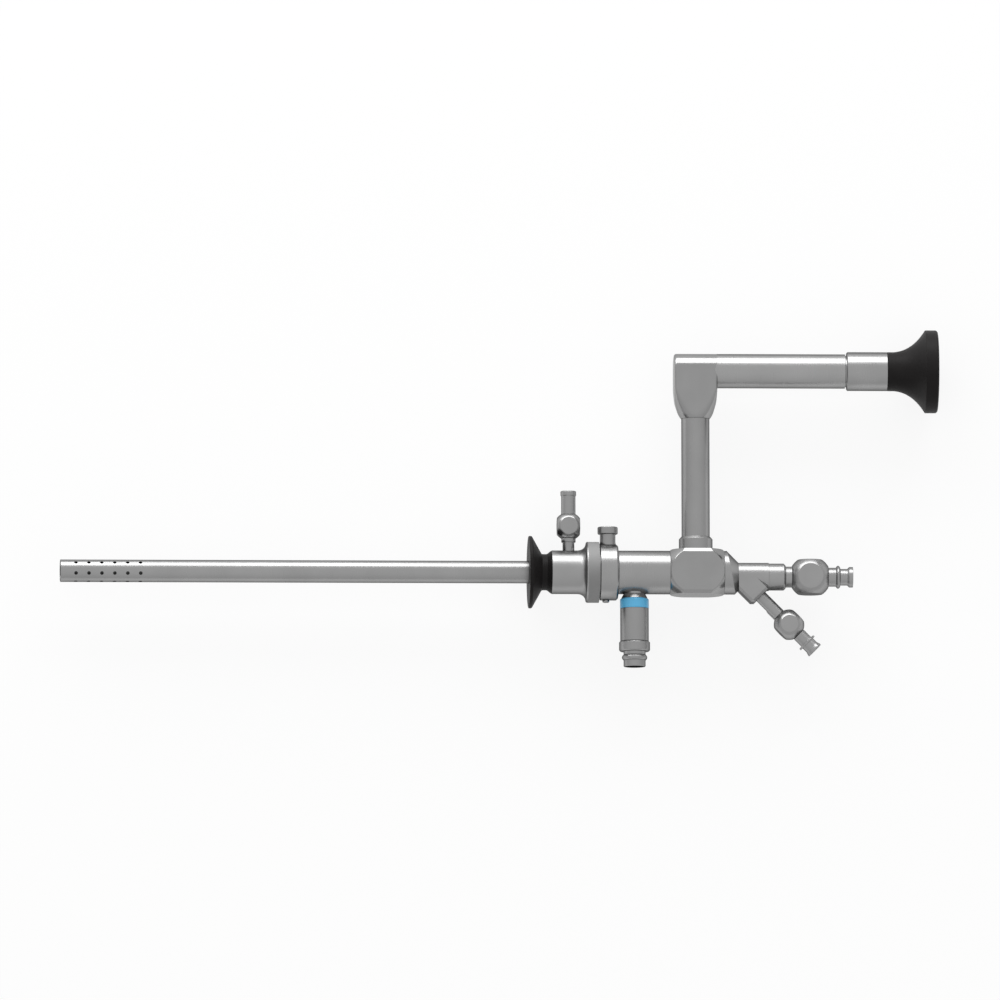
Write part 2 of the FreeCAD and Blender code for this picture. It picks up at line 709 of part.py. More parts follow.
def rod_start(index):
    """Station where a rod lens starts, counted from the tip."""
    return SHAFT_TIP + WINDOW_THICKNESS + SPACER_LENGTH + index * (ROD_LENGTH + SPACER_LENGTH)


def rod_lenses():
    """Rod lenses in a row, parted by the spacers."""
    rods = [rod(rod_start(i), rod_start(i) + ROD_LENGTH, lens_diameter(), -OPTIC_RISE)
            for i in range(ROD_COUNT)]
    return Part.makeCompound(rods)


def lens_spacers():
    """Short tubes that keep the rod lenses apart."""
    inner = lens_diameter() - 2 * SPACER_WALL
    spacers = [pipe(rod_start(i) - SPACER_LENGTH, rod_start(i), lens_diameter(), inner, -OPTIC_RISE)
               for i in range(ROD_COUNT + 1)]
    return Part.makeCompound(spacers)


def post_hole(diameter):
    """Bore down from the shaft axis through the main tube at the light post."""
    return placed(rod(0, TUBE_OD, diameter), POST_X, 0, -90)


def main_tube():
    """Body tube between the lock and the block, with the light post's seat below."""
    tube = pipe(TUBE_START, TUBE_END, TUBE_OD, TUBE_OD - 2 * TUBE_WALL)
    return tube.cut(post_hole(POST_BASE_OD + 2 * SOLDER_GAP))


def main_block():
    """Square block with chamfered edges and turned ends, bored for channel, optic and arm."""
    half = BLOCK_WIDTH / 2
    corner = half - BLOCK_EDGE_CHAMFER
    section = [
        (half, corner), (corner, half), (-corner, half), (-half, corner),
        (-half, -corner), (-corner, -half), (corner, -half), (half, -corner), (half, corner),
    ]
    wire = Part.makePolygon([Vector(TUBE_END, y, z) for y, z in section])
    bar = Part.Face(wire).extrude(Vector(BLOCK_LENGTH, 0, 0))
    run_out = math.hypot(half, corner) + BLOCK_RUN_OUT
    end_radius = TUBE_OD / 2 + SOLDER_GAP
    bulge = end_radius + (run_out - end_radius) * BLOCK_TURNED_BULGE
    turned_start = TUBE_END + BLOCK_TURNED_LENGTH
    turned_end = BLOCK_END - BLOCK_TURNED_LENGTH
    outline = Outline(TUBE_END, 0).line(TUBE_END, end_radius)
    outline.arc(TUBE_END + BLOCK_TURNED_LENGTH / 2, bulge, turned_start, run_out)
    outline.line(turned_end, run_out)
    outline.arc(BLOCK_END - BLOCK_TURNED_LENGTH / 2, bulge, BLOCK_END, end_radius)
    outline.line(BLOCK_END, 0)
    block = bar.common(outline.turned())
    spigot = rod(TUBE_END - BLOCK_SPIGOT, TUBE_END, TUBE_OD - 2 * TUBE_WALL - 2 * SOLDER_GAP)
    block = block.fuse(spigot).removeSplitter()
    front = TUBE_END - BLOCK_SPIGOT
    optic_bore = rod(front, ARM_X, OPTIC_OD + 2 * SOLDER_GAP, -OPTIC_RISE)
    pocket_floor = OPTIC_RISE - OPTIC_OD / 2 - PRISM_MARGIN / 2
    light_bore = placed(rod(pocket_floor, BLOCK_WIDTH, prism_pocket()), ARM_X, 0, 90)
    return block.cut([channel_hole(front, BLOCK_END), optic_bore, light_bore])


def prism_pocket():
    """Diameter of the round pocket that takes the block's prism."""
    return OPTIC_OD * math.sqrt(2) + 2 * PRISM_MARGIN


def channel_hole(start, end):
    """Bore for the working channel tube."""
    return rod(start, end, CHANNEL_OD + 2 * SOLDER_GAP, CHANNEL_DROP)


def block_nose():
    """Nose behind the block: a plain cylinder cut by a cone about the channel axis."""
    cylinder = rod(BLOCK_END, NOSE_END, TUBE_OD)
    cone = Part.makeCone(NOSE_TIP_RADIUS + NOSE_LENGTH, NOSE_TIP_RADIUS, NOSE_LENGTH,
                         Vector(BLOCK_END, -CHANNEL_DROP, 0), Vector(1, 0, 0))
    return cylinder.common(cone).cut(channel_hole(BLOCK_END, NOSE_END))


def branch_origin():
    """Point on the channel axis where the branch leaves it."""
    return NOSE_END + BRANCH_SETBACK, -CHANNEL_DROP


def y_body():
    """Body of the working channel, with a square boss for the branch at 45 degrees."""
    x, y = branch_origin()
    barrel = rod(NOSE_END, Y_BODY_END, Y_BODY_OD, CHANNEL_DROP)
    depth = Y_BODY_OD - 2 * BOSS_SINK
    boss = centred_box(BOSS_REACH, BOSS_WIDTH, depth, BOSS_REACH / 2)
    edges = [edge for edge in boss.Edges if edge.BoundBox.XMin > 0.01 or edge.BoundBox.XLength > 0.01]
    boss = placed(boss.makeChamfer(BOSS_CHAMFER, edges), x, y, BRANCH_ANGLE)
    keep = centred_box(Y_BODY_LENGTH, 4 * BOSS_REACH, depth, NOSE_END + Y_BODY_LENGTH / 2,
                       y - 2 * BOSS_REACH)
    body = barrel.fuse(boss.common(keep)).removeSplitter()
    body = body.cut(rod(NOSE_END, Y_BODY_END, CHANNEL_BORE, CHANNEL_DROP))
    body = body.cut(channel_hole(NOSE_END, NOSE_END + SLEEVE_SEAT))
    body = body.cut(rod(Y_BODY_END - SLEEVE_SEAT, Y_BODY_END, sleeve_spigot() + 2 * SOLDER_GAP, CHANNEL_DROP))
    branch_bore = placed(rod(0, BOSS_REACH, BRANCH_BORE), x, y, BRANCH_ANGLE)
    seat = rod(BOSS_REACH - VALVE_SOCKET_DEPTH, BOSS_REACH, BRANCH_TUBE_OD + 2 * SOLDER_GAP)
    return body.cut([branch_bore, placed(seat, x, y, BRANCH_ANGLE)])


def sleeve_spigot():
    """Diameter of the channel sleeve's spigot in the Y body."""
    return CHANNEL_BORE + 2.4


def channel_sleeve():
    """Sleeve between the Y body and the channel valve, with its narrower neck."""
    spigot = sleeve_spigot() / 2
    sleeve = SLEEVE_OD / 2
    neck = SLEEVE_NECK_OD / 2
    shoulder = SLEEVE_LENGTH
    outline = Outline(-SLEEVE_SEAT, CHANNEL_BORE / 2).line(-SLEEVE_SEAT, spigot)
    outline.line(0, spigot)
    outline.line(0, sleeve)
    outline.line(shoulder - SLEEVE_CHAMFER, sleeve)
    outline.line(shoulder, sleeve - SLEEVE_CHAMFER)
    outline.line(shoulder, neck)
    outline.line(shoulder + SLEEVE_NECK_LENGTH, neck)
    outline.line(shoulder + SLEEVE_NECK_LENGTH, CHANNEL_BORE / 2)
    return placed(outline.turned(), Y_BODY_END, -CHANNEL_DROP)


def channel_valve():
    """Valve of the working channel, with its lever forward under the sleeve."""
    sizes = (CHANNEL_VALVE_BALL, CHANNEL_VALVE_LENGTH, CHANNEL_VALVE_FLATS,
             CHANNEL_VALVE_PLUG, CHANNEL_VALVE_WALL)
    return valve("channel", sizes, CHANNEL_BORE, CHANNEL_LEVER_LENGTH,
                 CHANNEL_LEVER_WIDTH, CHANNEL_VALVE_X, -CHANNEL_DROP, 0, 180)


def luer_bore(end, through):
    """Tapered luer socket from the end face, with a plain bore through the rest."""
    narrow = LUER_TAPER_RADIUS - LUER_TAPER * LUER_TAPER_DEPTH
    socket = Part.makeCone(narrow, LUER_TAPER_RADIUS, LUER_TAPER_DEPTH,
                           Vector(end - LUER_TAPER_DEPTH, 0, 0), Vector(1, 0, 0))
    return socket.fuse(rod(-1.0, end, through))


def channel_luer():
    """Luer connector behind the channel valve."""
    neck = CHANNEL_LUER_NECK_OD / 2
    ring = CHANNEL_LUER_RING_OD / 2
    groove = CHANNEL_LUER_GROOVE_OD / 2
    flange = CHANNEL_LUER_FLANGE_OD / 2
    ring_start = CHANNEL_LUER_NECK_LENGTH
    groove_start = ring_start + CHANNEL_LUER_RING_LENGTH
    flange_start = groove_start + CHANNEL_LUER_GROOVE_LENGTH
    end = flange_start + CHANNEL_LUER_FLANGE_LENGTH
    outline = Outline(0, 0).line(0, neck)
    outline.line(ring_start, neck)
    outline.arc(ring_start + CHANNEL_LUER_RING_LENGTH / 2, ring, groove_start, neck)
    outline.line(groove_start, groove)
    outline.line(flange_start, groove)
    outline.line(flange_start + (flange - groove), flange)
    outline.line(end, flange)
    outline.line(end, 0)
    luer = outline.turned().cut(luer_bore(end, CHANNEL_BORE))
    return placed(luer, CHANNEL_VALVE_X + CHANNEL_VALVE_LENGTH / 2, -CHANNEL_DROP)


def branch_point(distance):
    """Point on the branch axis at a distance from the channel axis."""
    x, y = branch_origin()
    angle = math.radians(BRANCH_ANGLE)
    return x + distance * math.cos(angle), y + distance * math.sin(angle)


def branch_tube():
    """Straight tube from the boss to the branch valve."""
    start = BOSS_REACH - VALVE_SOCKET_DEPTH
    tube = pipe(0, BRANCH_TUBE_LENGTH + VALVE_SOCKET_DEPTH, BRANCH_TUBE_OD, BRANCH_BORE)
    return placed(tube, *branch_point(start), BRANCH_ANGLE)


def branch_valve_distance():
    """Distance of the branch valve's centre from the channel axis."""
    return BOSS_REACH + BRANCH_TUBE_LENGTH + BRANCH_VALVE_LENGTH / 2


def branch_valve():
    """Valve of the side branch, with its lever back along the branch tube."""
    sizes = (BRANCH_VALVE_BALL, BRANCH_VALVE_LENGTH, BRANCH_VALVE_FLATS,
             BRANCH_VALVE_PLUG, BRANCH_VALVE_WALL)
    x, y = branch_point(branch_valve_distance())
    return valve("branch", sizes, BRANCH_BORE, BRANCH_LEVER_LENGTH,
                 BRANCH_LEVER_WIDTH, x, y, BRANCH_ANGLE, BRANCH_ANGLE + 180)


def branch_luer():
    """Luer connector of the branch, with two small ears on its ring."""
    neck = BRANCH_LUER_NECK_OD / 2
    ring = BRANCH_LUER_RING_OD / 2
    waist = BRANCH_LUER_WAIST_OD / 2
    mouth = BRANCH_LUER_MOUTH_OD / 2
    ring_start = BRANCH_LUER_NECK_LENGTH
    waist_start = ring_start + BRANCH_LUER_RING_LENGTH
    mouth_start = waist_start + BRANCH_LUER_WAIST_LENGTH
    end = mouth_start + BRANCH_LUER_MOUTH_LENGTH
    outline = Outline(0, 0).line(0, neck)
    outline.line(ring_start, neck)
    outline.line(ring_start, ring)
    outline.line(waist_start, ring)
    outline.line(waist_start, waist)
    outline.line(mouth_start, waist)
    outline.line(end - BRANCH_LUER_MOUTH_LENGTH / 3, mouth)
    outline.line(end, mouth)
    outline.line(end, 0)
    ears = centred_box(BRANCH_LUER_RING_LENGTH, BRANCH_LUER_EAR_SPAN, BRANCH_LUER_EAR_WIDTH,
                       ring_start + BRANCH_LUER_RING_LENGTH / 2)
    along = [edge for edge in ears.Edges if edge.BoundBox.XLength > BRANCH_LUER_RING_LENGTH / 2]
    ears = ears.makeFillet(BRANCH_LUER_EAR_ROUND, along)
    luer = outline.turned().fuse(ears).cut(luer_bore(end, BRANCH_BORE))
    return placed(luer, *branch_point(branch_valve_distance() + BRANCH_VALVE_LENGTH / 2), BRANCH_ANGLE)


def light_post_base():
    """Flared base soldered into the main tube, with the core that carries the post's rings."""
    inside = TUBE_OD / 2 - TUBE_WALL
    root = TUBE_OD / 2
    base = POST_BASE_OD / 2
    flare = POST_BASE_FLARE_OD / 2
    core = POST_CORE_OD / 2
    outline = Outline(inside, POST_BORE / 2).line(inside, base)
    outline.line(root, base)
    outline.line(POST_BASE_END - POST_BASE_EDGE, flare)
    outline.line(POST_BASE_END, flare)
    outline.line(POST_BASE_END, core)
    outline.line(POST_END - POST_THREAD_END, core)
    outline.line(POST_END - POST_THREAD_END, POST_BORE / 2)
    return placed(outline.turned(), POST_X, 0, -90)


def colour_ring():
    """Blue ring that marks the size, trapped between the base and the post sleeve."""
    outer = COLOUR_RING_OD / 2
    inner = POST_CORE_OD / 2 + SOLDER_GAP
    end = POST_BASE_END + COLOUR_RING_HEIGHT
    outline = Outline(POST_BASE_END, inner)
    outline.line(POST_BASE_END, outer - COLOUR_RING_CHAMFER)
    outline.line(POST_BASE_END + COLOUR_RING_CHAMFER, outer)
    outline.line(end, outer)
    outline.line(end, inner)
    return placed(outline.turned(), POST_X, 0, -90)


def light_post_sleeve():
    """Plain sleeve screwed on the core, which the light cable's clamp grips."""
    start = POST_BASE_END + COLOUR_RING_HEIGHT
    outer = POST_OD / 2
    outline = Outline(start, POST_CORE_OD / 2 + SOLDER_GAP).line(start, outer)
    outline.line(POST_END, outer)
    outline.line(POST_END, POST_BORE / 2)
    outline.line(POST_END - POST_THREAD_END, POST_BORE / 2)
    outline.line(POST_END - POST_THREAD_END, POST_CORE_OD / 2 + SOLDER_GAP)
    return placed(outline.turned(), POST_X, 0, -90)


def light_adaptor():
    """Adaptor on the post's end, with a ring groove and the tip that enters the cable."""
    outer = ADAPTOR_OD / 2
    neck = ADAPTOR_NECK_OD / 2
    groove = neck - SNAP_RING_DEPTH
    ring_end = SNAP_RING_START + SNAP_RING_WIDTH
    window = LIGHT_WINDOW_OD / 2 + LENS_GAP
    outline = Outline(POST_END, POST_BORE / 2).line(POST_END, outer - ADAPTOR_CHAMFER)
    outline.line(POST_END + ADAPTOR_CHAMFER, outer)
    outline.line(ADAPTOR_END - ADAPTOR_CHAMFER, outer)
    outline.line(ADAPTOR_END, outer - ADAPTOR_CHAMFER)
    outline.line(ADAPTOR_END, neck)
    outline.line(SNAP_RING_START, neck)
    outline.line(SNAP_RING_START, groove)
    outline.line(ring_end, groove)
    outline.line(ring_end, neck)
    outline.line(ADAPTOR_TIP_END - ADAPTOR_TIP_CHAMFER, neck)
    outline.line(ADAPTOR_TIP_END, neck - ADAPTOR_TIP_CHAMFER)
    outline.line(ADAPTOR_TIP_END, window)
    outline.line(light_window_start(), window)
    outline.line(light_window_start(), POST_BORE / 2)
    return placed(outline.turned(), POST_X, 0, -90)


def adaptor_snap_ring():
    """Rounded spring ring in the adaptor's groove, which a cable's socket snaps over."""
    inner = ADAPTOR_NECK_OD / 2 - SNAP_RING_DEPTH + SEAL_GAP
    start = SNAP_RING_START + SEAL_GAP
    end = SNAP_RING_START + SNAP_RING_WIDTH - SEAL_GAP
    return placed(rounded_ring(start, end, inner, SNAP_RING_OD / 2), POST_X, 0, -90)


def light_window_start():
    """Depth of the light window's inner face from the shaft axis."""
    return ADAPTOR_TIP_END - LIGHT_WINDOW_RECESS - LIGHT_WINDOW_THICKNESS


def light_window():
    """Glass window at the end of the fibre bundle, just inside the adaptor's tip."""
    start = light_window_start()
    window = rod(start, start + LIGHT_WINDOW_THICKNESS, LIGHT_WINDOW_OD)
    return placed(window, POST_X, 0, -90)


def fibre_bundle():
    """Light fibres from the window up the post, bent forward to the shaft's end."""
    foot = light_window_start()
    level = CHANNEL_DROP + CHANNEL_OD / 2 + FIBRE_OD / 2 + SOLDER_GAP
    bend_start = level + FIBRE_BEND
    lean = FIBRE_BEND * (1 - math.sqrt(0.5))
    post = Part.LineSegment(Vector(POST_X, -foot, 0), Vector(POST_X, -bend_start, 0))
    middle = Vector(POST_X - lean, -level - lean, 0)
    bend = Part.Arc(Vector(POST_X, -bend_start, 0), middle, Vector(POST_X - FIBRE_BEND, -level, 0))
    path = Part.Wire([post.toShape(), bend.toShape()])
    circle = Part.Circle(Vector(POST_X, -foot, 0), Vector(0, 1, 0), FIBRE_OD / 2)
    return path.makePipeShell([Part.Wire([circle.toShape()])], True, False)


def arm_collar():
    """Collar soldered on the block's upper face, which holds the vertical tube."""
    outer = ARM_COLLAR_OD / 2
    inner = ARM_TUBE_OD / 2 + SOLDER_GAP
    start = BLOCK_WIDTH / 2
    end = start + ARM_COLLAR_HEIGHT + ARM_COLLAR_CHAMFER
    outline = Outline(start, prism_pocket() / 2).line(start, outer)
    outline.line(end - ARM_COLLAR_CHAMFER, outer)
    outline.line(end, inner + 0.05)
    outline.line(end, inner)
    outline.line(start + 1.0, inner)
    outline.line(start + 1.0, prism_pocket() / 2)
    return placed(outline.turned(), ARM_X, 0, 90)


def vertical_tube():
    """Tube of the ocular arm, from the collar to the elbow."""
    tube = pipe(BLOCK_WIDTH / 2 + 1.0, ARM_TUBE_TOP, ARM_TUBE_OD, ARM_TUBE_OD - 2 * ARM_TUBE_WALL)
    return placed(tube, ARM_X, 0, 90)


def relay_lenses():
    """Relay lenses stacked in the vertical tube."""
    diameter = ARM_TUBE_OD - 2 * ARM_TUBE_WALL - 2 * LENS_GAP
    lenses = []
    for index in range(RELAY_COUNT):
        start = RELAY_START + index * RELAY_PITCH
        lenses.append(placed(rod(start, start + RELAY_THICKNESS, diameter), ARM_X, 0, 90))
    return Part.makeCompound(lenses)


def prism(size, x, y, mirrored):
    """Right-angle prism that turns the light at a corner of the optic path."""
    half = size / 2
    third = Vector(x + half, y - half, -half) if mirrored else Vector(x - half, y + half, -half)
    corners = [Vector(x - half, y - half, -half), third, Vector(x + half, y + half, -half)]
    wire = Part.makePolygon(corners + corners[:1])
    return Part.Face(wire).extrude(Vector(0, 0, size))


def block_prism():
    """Prism in the block that turns the light up the arm."""
    return prism(OPTIC_OD, ARM_X, OPTIC_RISE, False)


def elbow_prism():
    """Prism in the elbow that turns the light back to the eyepiece."""
    return prism(ELBOW_BORE, ARM_X, OCULAR_RISE, True)


def elbow_section(rise, half_width, half_depth, corner):
    """Rounded rectangle across the arm, as the elbow's section at a rise above its foot."""
    corner = min(corner, half_width - ELBOW_SEAM, half_depth - ELBOW_SEAM)
    flat_x = half_width - corner
    flat_z = half_depth - corner
    lean = corner * math.sqrt(0.5)
    height = ARM_TUBE_TOP + rise
    arcs = []
    for x_side, z_side in ((1, 1), (-1, 1), (-1, -1), (1, -1)):
        side = Vector(ARM_X + x_side * half_width, height, z_side * flat_z)
        middle = Vector(ARM_X + x_side * (flat_x + lean), height, z_side * (flat_z + lean))
        face = Vector(ARM_X + x_side * flat_x, height, z_side * half_depth)
        if x_side * z_side > 0:
            arcs.append((side, middle, face))
        else:
            arcs.append((face, middle, side))
    edges = []
    for index, (first, middle, last) in enumerate(arcs):
        edges.append(Part.Arc(first, middle, last).toShape())
        edges.append(Part.LineSegment(last, arcs[(index + 1) % 4][0]).toShape())
    return Part.Wire(edges)


def elbow_bar():
    """Upright bar of the elbow, which grows from a round foot to a nearly square section."""
    depth = OCULAR_OD / 2
    top = OCULAR_RISE + depth - ARM_TUBE_TOP
    foot = elbow_section(0, ELBOW_FOOT_RADIUS, ELBOW_FOOT_RADIUS, ELBOW_FOOT_RADIUS)
    shoulder = elbow_section(ELBOW_SHOULDER_RISE, ELBOW_SHOULDER_RADIUS, ELBOW_SHOULDER_RADIUS,
                             ELBOW_SHOULDER_RADIUS)
    knee = elbow_section(ELBOW_KNEE_RISE, ELBOW_KNEE_HALF_WIDTH, depth, ELBOW_KNEE_CORNER)
    root = elbow_section(ELBOW_ROOT_RISE, ELBOW_HALF_WIDTH, depth, ELBOW_CORNER)
    head = elbow_section(top, ELBOW_HALF_WIDTH, depth, ELBOW_CORNER)
    return Part.makeLoft([foot, shoulder, knee, root, head], True, True)


def elbow_crown():
    """Round top of the elbow, in line with the ocular tube and eased at its closed end."""
    outer = OCULAR_OD / 2
    lean = ELBOW_END_ROUND * (1 - math.sqrt(0.5))
    closed = -ELBOW_HALF_WIDTH
    outline = Outline(closed, 0).line(closed, outer - ELBOW_END_ROUND)
    outline.arc(closed + lean, outer - lean, closed + ELBOW_END_ROUND, outer)
    outline.line(ELBOW_HALF_WIDTH, outer)
    outline.line(ELBOW_HALF_WIDTH, 0)
    return placed(outline.turned(), ARM_X, OCULAR_RISE)


def elbow_blank():
    """Outer form of the elbow: the bar, with its top rounded in line with the ocular tube."""
    height = OCULAR_RISE - ARM_TUBE_TOP
    lower = centred_box(4 * ELBOW_HALF_WIDTH, height, 2 * OCULAR_OD, ARM_X, ARM_TUBE_TOP + height / 2)
    return elbow_bar().common(lower.fuse(elbow_crown()))


def elbow_housing():
    """Elbow that carries the prism and joins the vertical tube to the ocular tube."""
    arm_bore = placed(rod(ARM_TUBE_TOP, OCULAR_RISE, elbow_pocket()), ARM_X, 0, 90)
    ocular_bore = placed(rod(ARM_X, ARM_X + OCULAR_OD, elbow_pocket()), 0, OCULAR_RISE)
    ball = Part.makeSphere(elbow_pocket() / 2, Vector(ARM_X, OCULAR_RISE, 0))
    return elbow_blank().cut([arm_bore, ocular_bore, ball])


def elbow_pocket():
    """Diameter of the elbow's bores, which clear the prism's corners."""
    return ELBOW_BORE * math.sqrt(2) + 2 * LENS_GAP


def ocular_tube():
    """Straight tube from the elbow to the ocular sleeve."""
    tube = placed(rod(ARM_X, OCULAR_END, OCULAR_OD), 0, OCULAR_RISE)
    tube = tube.cut(elbow_blank())
    inner = OCULAR_OD - 2 * OCULAR_WALL
    bore = placed(rod(ARM_X, OCULAR_END, inner), 0, OCULAR_RISE)
    tube = tube.cut(bore)
    return max(tube.Solids, key=lambda solid: solid.Volume)


def ocular_sleeve():
    """Sleeve that holds the ocular lens, on a spigot in the ocular tube."""
    outer = OCULAR_SLEEVE_OD / 2
    spigot = OCULAR_OD / 2 - OCULAR_WALL - SOLDER_GAP
    waist = OCULAR_OD / 2 - OCULAR_GROOVE
    bore = OCULAR_SLEEVE_BORE / 2 - 1.0
    outline = Outline(OCULAR_END - CUP_SPIGOT_LENGTH, bore)
    outline.line(OCULAR_END - CUP_SPIGOT_LENGTH, spigot)
    outline.line(OCULAR_END, spigot)
    outline.line(OCULAR_END, waist)
    outline.line(SLEEVE_START, waist)
    outline.line(SLEEVE_START, outer - OCULAR_SLEEVE_CHAMFER)
    outline.line(SLEEVE_START + OCULAR_SLEEVE_CHAMFER, outer)
    outline.line(CUP_START, outer)
    outline.line(CUP_START, OCULAR_SLEEVE_BORE / 2)
    outline.line(CUP_START - CUP_SPIGOT_LENGTH, OCULAR_SLEEVE_BORE / 2)
    outline.line(CUP_START - CUP_SPIGOT_LENGTH, bore)
    return placed(outline.turned(), 0, OCULAR_RISE)


def ocular_lens():
    """Convex lens in the bore of the sleeve."""
    radius = OCULAR_SLEEVE_BORE / 2 - 1.0 - LENS_GAP
    start = SLEEVE_START + OCULAR_SLEEVE_LENGTH / 4
    end = start + OCULAR_LENS_THICKNESS
    sag = OCULAR_LENS_CURVE - math.sqrt(OCULAR_LENS_CURVE ** 2 - radius ** 2)
    outline = Outline(start, 0).line(start, radius)
    outline.line(end - sag, radius)
    half = radius / 2
    middle_sag = OCULAR_LENS_CURVE - math.sqrt(OCULAR_LENS_CURVE ** 2 - half ** 2)
    outline.arc(end - middle_sag, half, end, 0)
    return placed(outline.turned(), 0, OCULAR_RISE)


def eyepiece_cup():
    """Black cup with a flared back that leads the eye to the window."""
    neck = CUP_NECK_OD / 2
    rim = CUP_OD / 2
    flare_start = CUP_START + CUP_NECK_LENGTH
    flare_end = flare_start + CUP_FLARE_LENGTH
    rim_end = flare_end + CUP_RIM_LENGTH
    recess_floor = CUP_END - CUP_RECESS_DEPTH
    window_seat = recess_floor - OCULAR_WINDOW_THICKNESS
    bore = CUP_BORE / 2
    spigot = OCULAR_SLEEVE_BORE / 2 - SOLDER_GAP
    outline = Outline(CUP_START - CUP_SPIGOT_LENGTH, bore)
    outline.line(CUP_START - CUP_SPIGOT_LENGTH, spigot)
    outline.line(CUP_START, spigot)
    outline.line(CUP_START, neck)
    outline.line(flare_start, neck)
    outline.arc(flare_start + CUP_FLARE_LENGTH * 0.55, neck + (rim - neck) * 0.28, flare_end, rim)
    outline.line(rim_end, rim)
    outline.line(CUP_END, rim - CUP_RIM_ROUND)
    outline.line(CUP_END, CUP_RECESS_MOUTH_OD / 2)
    outline.line(recess_floor, CUP_RECESS_FLOOR_OD / 2)
    outline.line(recess_floor, OCULAR_WINDOW_OD / 2 + LENS_GAP)
    outline.line(window_seat, OCULAR_WINDOW_OD / 2 + LENS_GAP)
    outline.line(window_seat, bore)
    return placed(outline.turned(), 0, OCULAR_RISE)


def ocular_window():
    """Window that closes the eyepiece at the floor of the cup's recess."""
    end = CUP_END - CUP_RECESS_DEPTH
    window = rod(end - OCULAR_WINDOW_THICKNESS, end, OCULAR_WINDOW_OD)
    return placed(window, 0, OCULAR_RISE)


def pieces():
    """Every piece of the instrument under the name of its node."""
    made = {}
    for build in (
        outer_sheath_tube, finger_disc, sheath_hub, hub_seal_ring, irrigation_neck,
        irrigation_hose_connector, lock_ring, lock_knob, lock_screw, lock_socket,
        inner_shaft_tube, working_channel_tube, optic_tube, distal_window, rod_lenses,
        lens_spacers, main_tube, main_block, block_nose, y_body, channel_sleeve, channel_luer,
        branch_tube, branch_luer, light_post_base, colour_ring, light_post_sleeve,
        light_adaptor, adaptor_snap_ring, light_window, fibre_bundle, arm_collar,
        vertical_tube, relay_lenses, block_prism, elbow_prism, elbow_housing, ocular_tube,
        ocular_sleeve, ocular_lens, eyepiece_cup, ocular_window,
    ):
        made[build.__name__] = build()
    for assembly in (irrigation_valve, channel_valve, branch_valve):
        made.update(assembly())
    return made


def main():
    """Builds every piece and writes one file for each."""
    os.makedirs("parts", exist_ok=True)
    for name, shape in pieces().items():
        box = shape.BoundBox
        print(f"{name:28s} solids {len(shape.Solids)} valid {shape.isValid()} "
              f"x {box.XMin:8.2f} {box.XMax:8.2f} y {box.YMin:7.2f} {box.YMax:7.2f} "
              f"z {box.ZMin:7.2f} {box.ZMax:7.2f} volume {shape.Volume:9.1f}")
        shape.exportStep(f"parts/{name}.step")


main()
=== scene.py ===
"""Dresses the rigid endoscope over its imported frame, with clean turned pieces and satin finishes.

Sizes in the classes are in millimetres, and a piece becomes metres when it is put on its body.
The instrument lies on its side on a pale floor, with +X along the shaft to the eyepiece, +Y from
the shaft to the offset ocular and +Z up.
"""

import json
import logging
import math
from dataclasses import dataclass
from enum import Enum
from typing import Any

import bmesh
import bpy
from mathutils import Matrix, Vector

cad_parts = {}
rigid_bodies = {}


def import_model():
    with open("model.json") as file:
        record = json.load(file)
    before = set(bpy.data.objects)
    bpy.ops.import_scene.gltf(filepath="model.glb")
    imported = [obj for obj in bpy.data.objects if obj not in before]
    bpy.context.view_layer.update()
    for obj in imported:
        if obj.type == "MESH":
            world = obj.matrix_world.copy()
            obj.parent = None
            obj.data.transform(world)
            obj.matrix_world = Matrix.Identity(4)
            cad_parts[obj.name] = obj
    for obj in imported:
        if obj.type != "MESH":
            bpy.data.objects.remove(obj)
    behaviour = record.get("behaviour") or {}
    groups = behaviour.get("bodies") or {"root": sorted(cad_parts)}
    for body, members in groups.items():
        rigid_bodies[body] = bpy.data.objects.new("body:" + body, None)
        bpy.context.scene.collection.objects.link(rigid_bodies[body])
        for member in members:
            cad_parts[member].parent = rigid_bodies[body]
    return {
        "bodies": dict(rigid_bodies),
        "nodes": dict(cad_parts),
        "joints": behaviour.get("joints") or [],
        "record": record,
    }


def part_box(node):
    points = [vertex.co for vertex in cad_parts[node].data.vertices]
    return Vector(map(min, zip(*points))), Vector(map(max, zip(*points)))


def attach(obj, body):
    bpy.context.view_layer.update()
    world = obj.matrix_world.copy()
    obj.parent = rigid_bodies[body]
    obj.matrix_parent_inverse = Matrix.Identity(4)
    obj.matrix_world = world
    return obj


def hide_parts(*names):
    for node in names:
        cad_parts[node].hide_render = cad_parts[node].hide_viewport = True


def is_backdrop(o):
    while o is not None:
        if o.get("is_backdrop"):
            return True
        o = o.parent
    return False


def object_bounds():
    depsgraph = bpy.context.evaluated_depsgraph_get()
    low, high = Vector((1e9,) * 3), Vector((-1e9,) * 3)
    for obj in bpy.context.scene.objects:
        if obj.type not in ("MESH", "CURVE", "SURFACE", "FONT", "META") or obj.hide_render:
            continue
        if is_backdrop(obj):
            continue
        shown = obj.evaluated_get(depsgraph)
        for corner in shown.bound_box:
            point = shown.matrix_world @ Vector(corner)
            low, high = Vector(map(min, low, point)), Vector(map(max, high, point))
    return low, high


Inputs = dict[str | int, Any]
Point = tuple[float, float]
Shape = bmesh.types.BMesh
Socket = bpy.types.NodeSocket
Triple = tuple[float, float, float]

LOG = logging.getLogger("endoscope")
METRES = 0.001
FULL_TURN = 2.0 * math.pi
DIAGONAL = math.sqrt(0.5)
UP = 90.0
DOWN = -90.0
X, Y = 0, 1
SIDES = ((0, 1, 0), (0, -1, 0), (0, 0, 1), (0, 0, -1))
FIT = 0.03
CLEAR = 1.0
MERGE = 1e-4
NOISE_LOW = 0.3
NOISE_HIGH = 0.7
SMOOTH_BELOW = 50.0


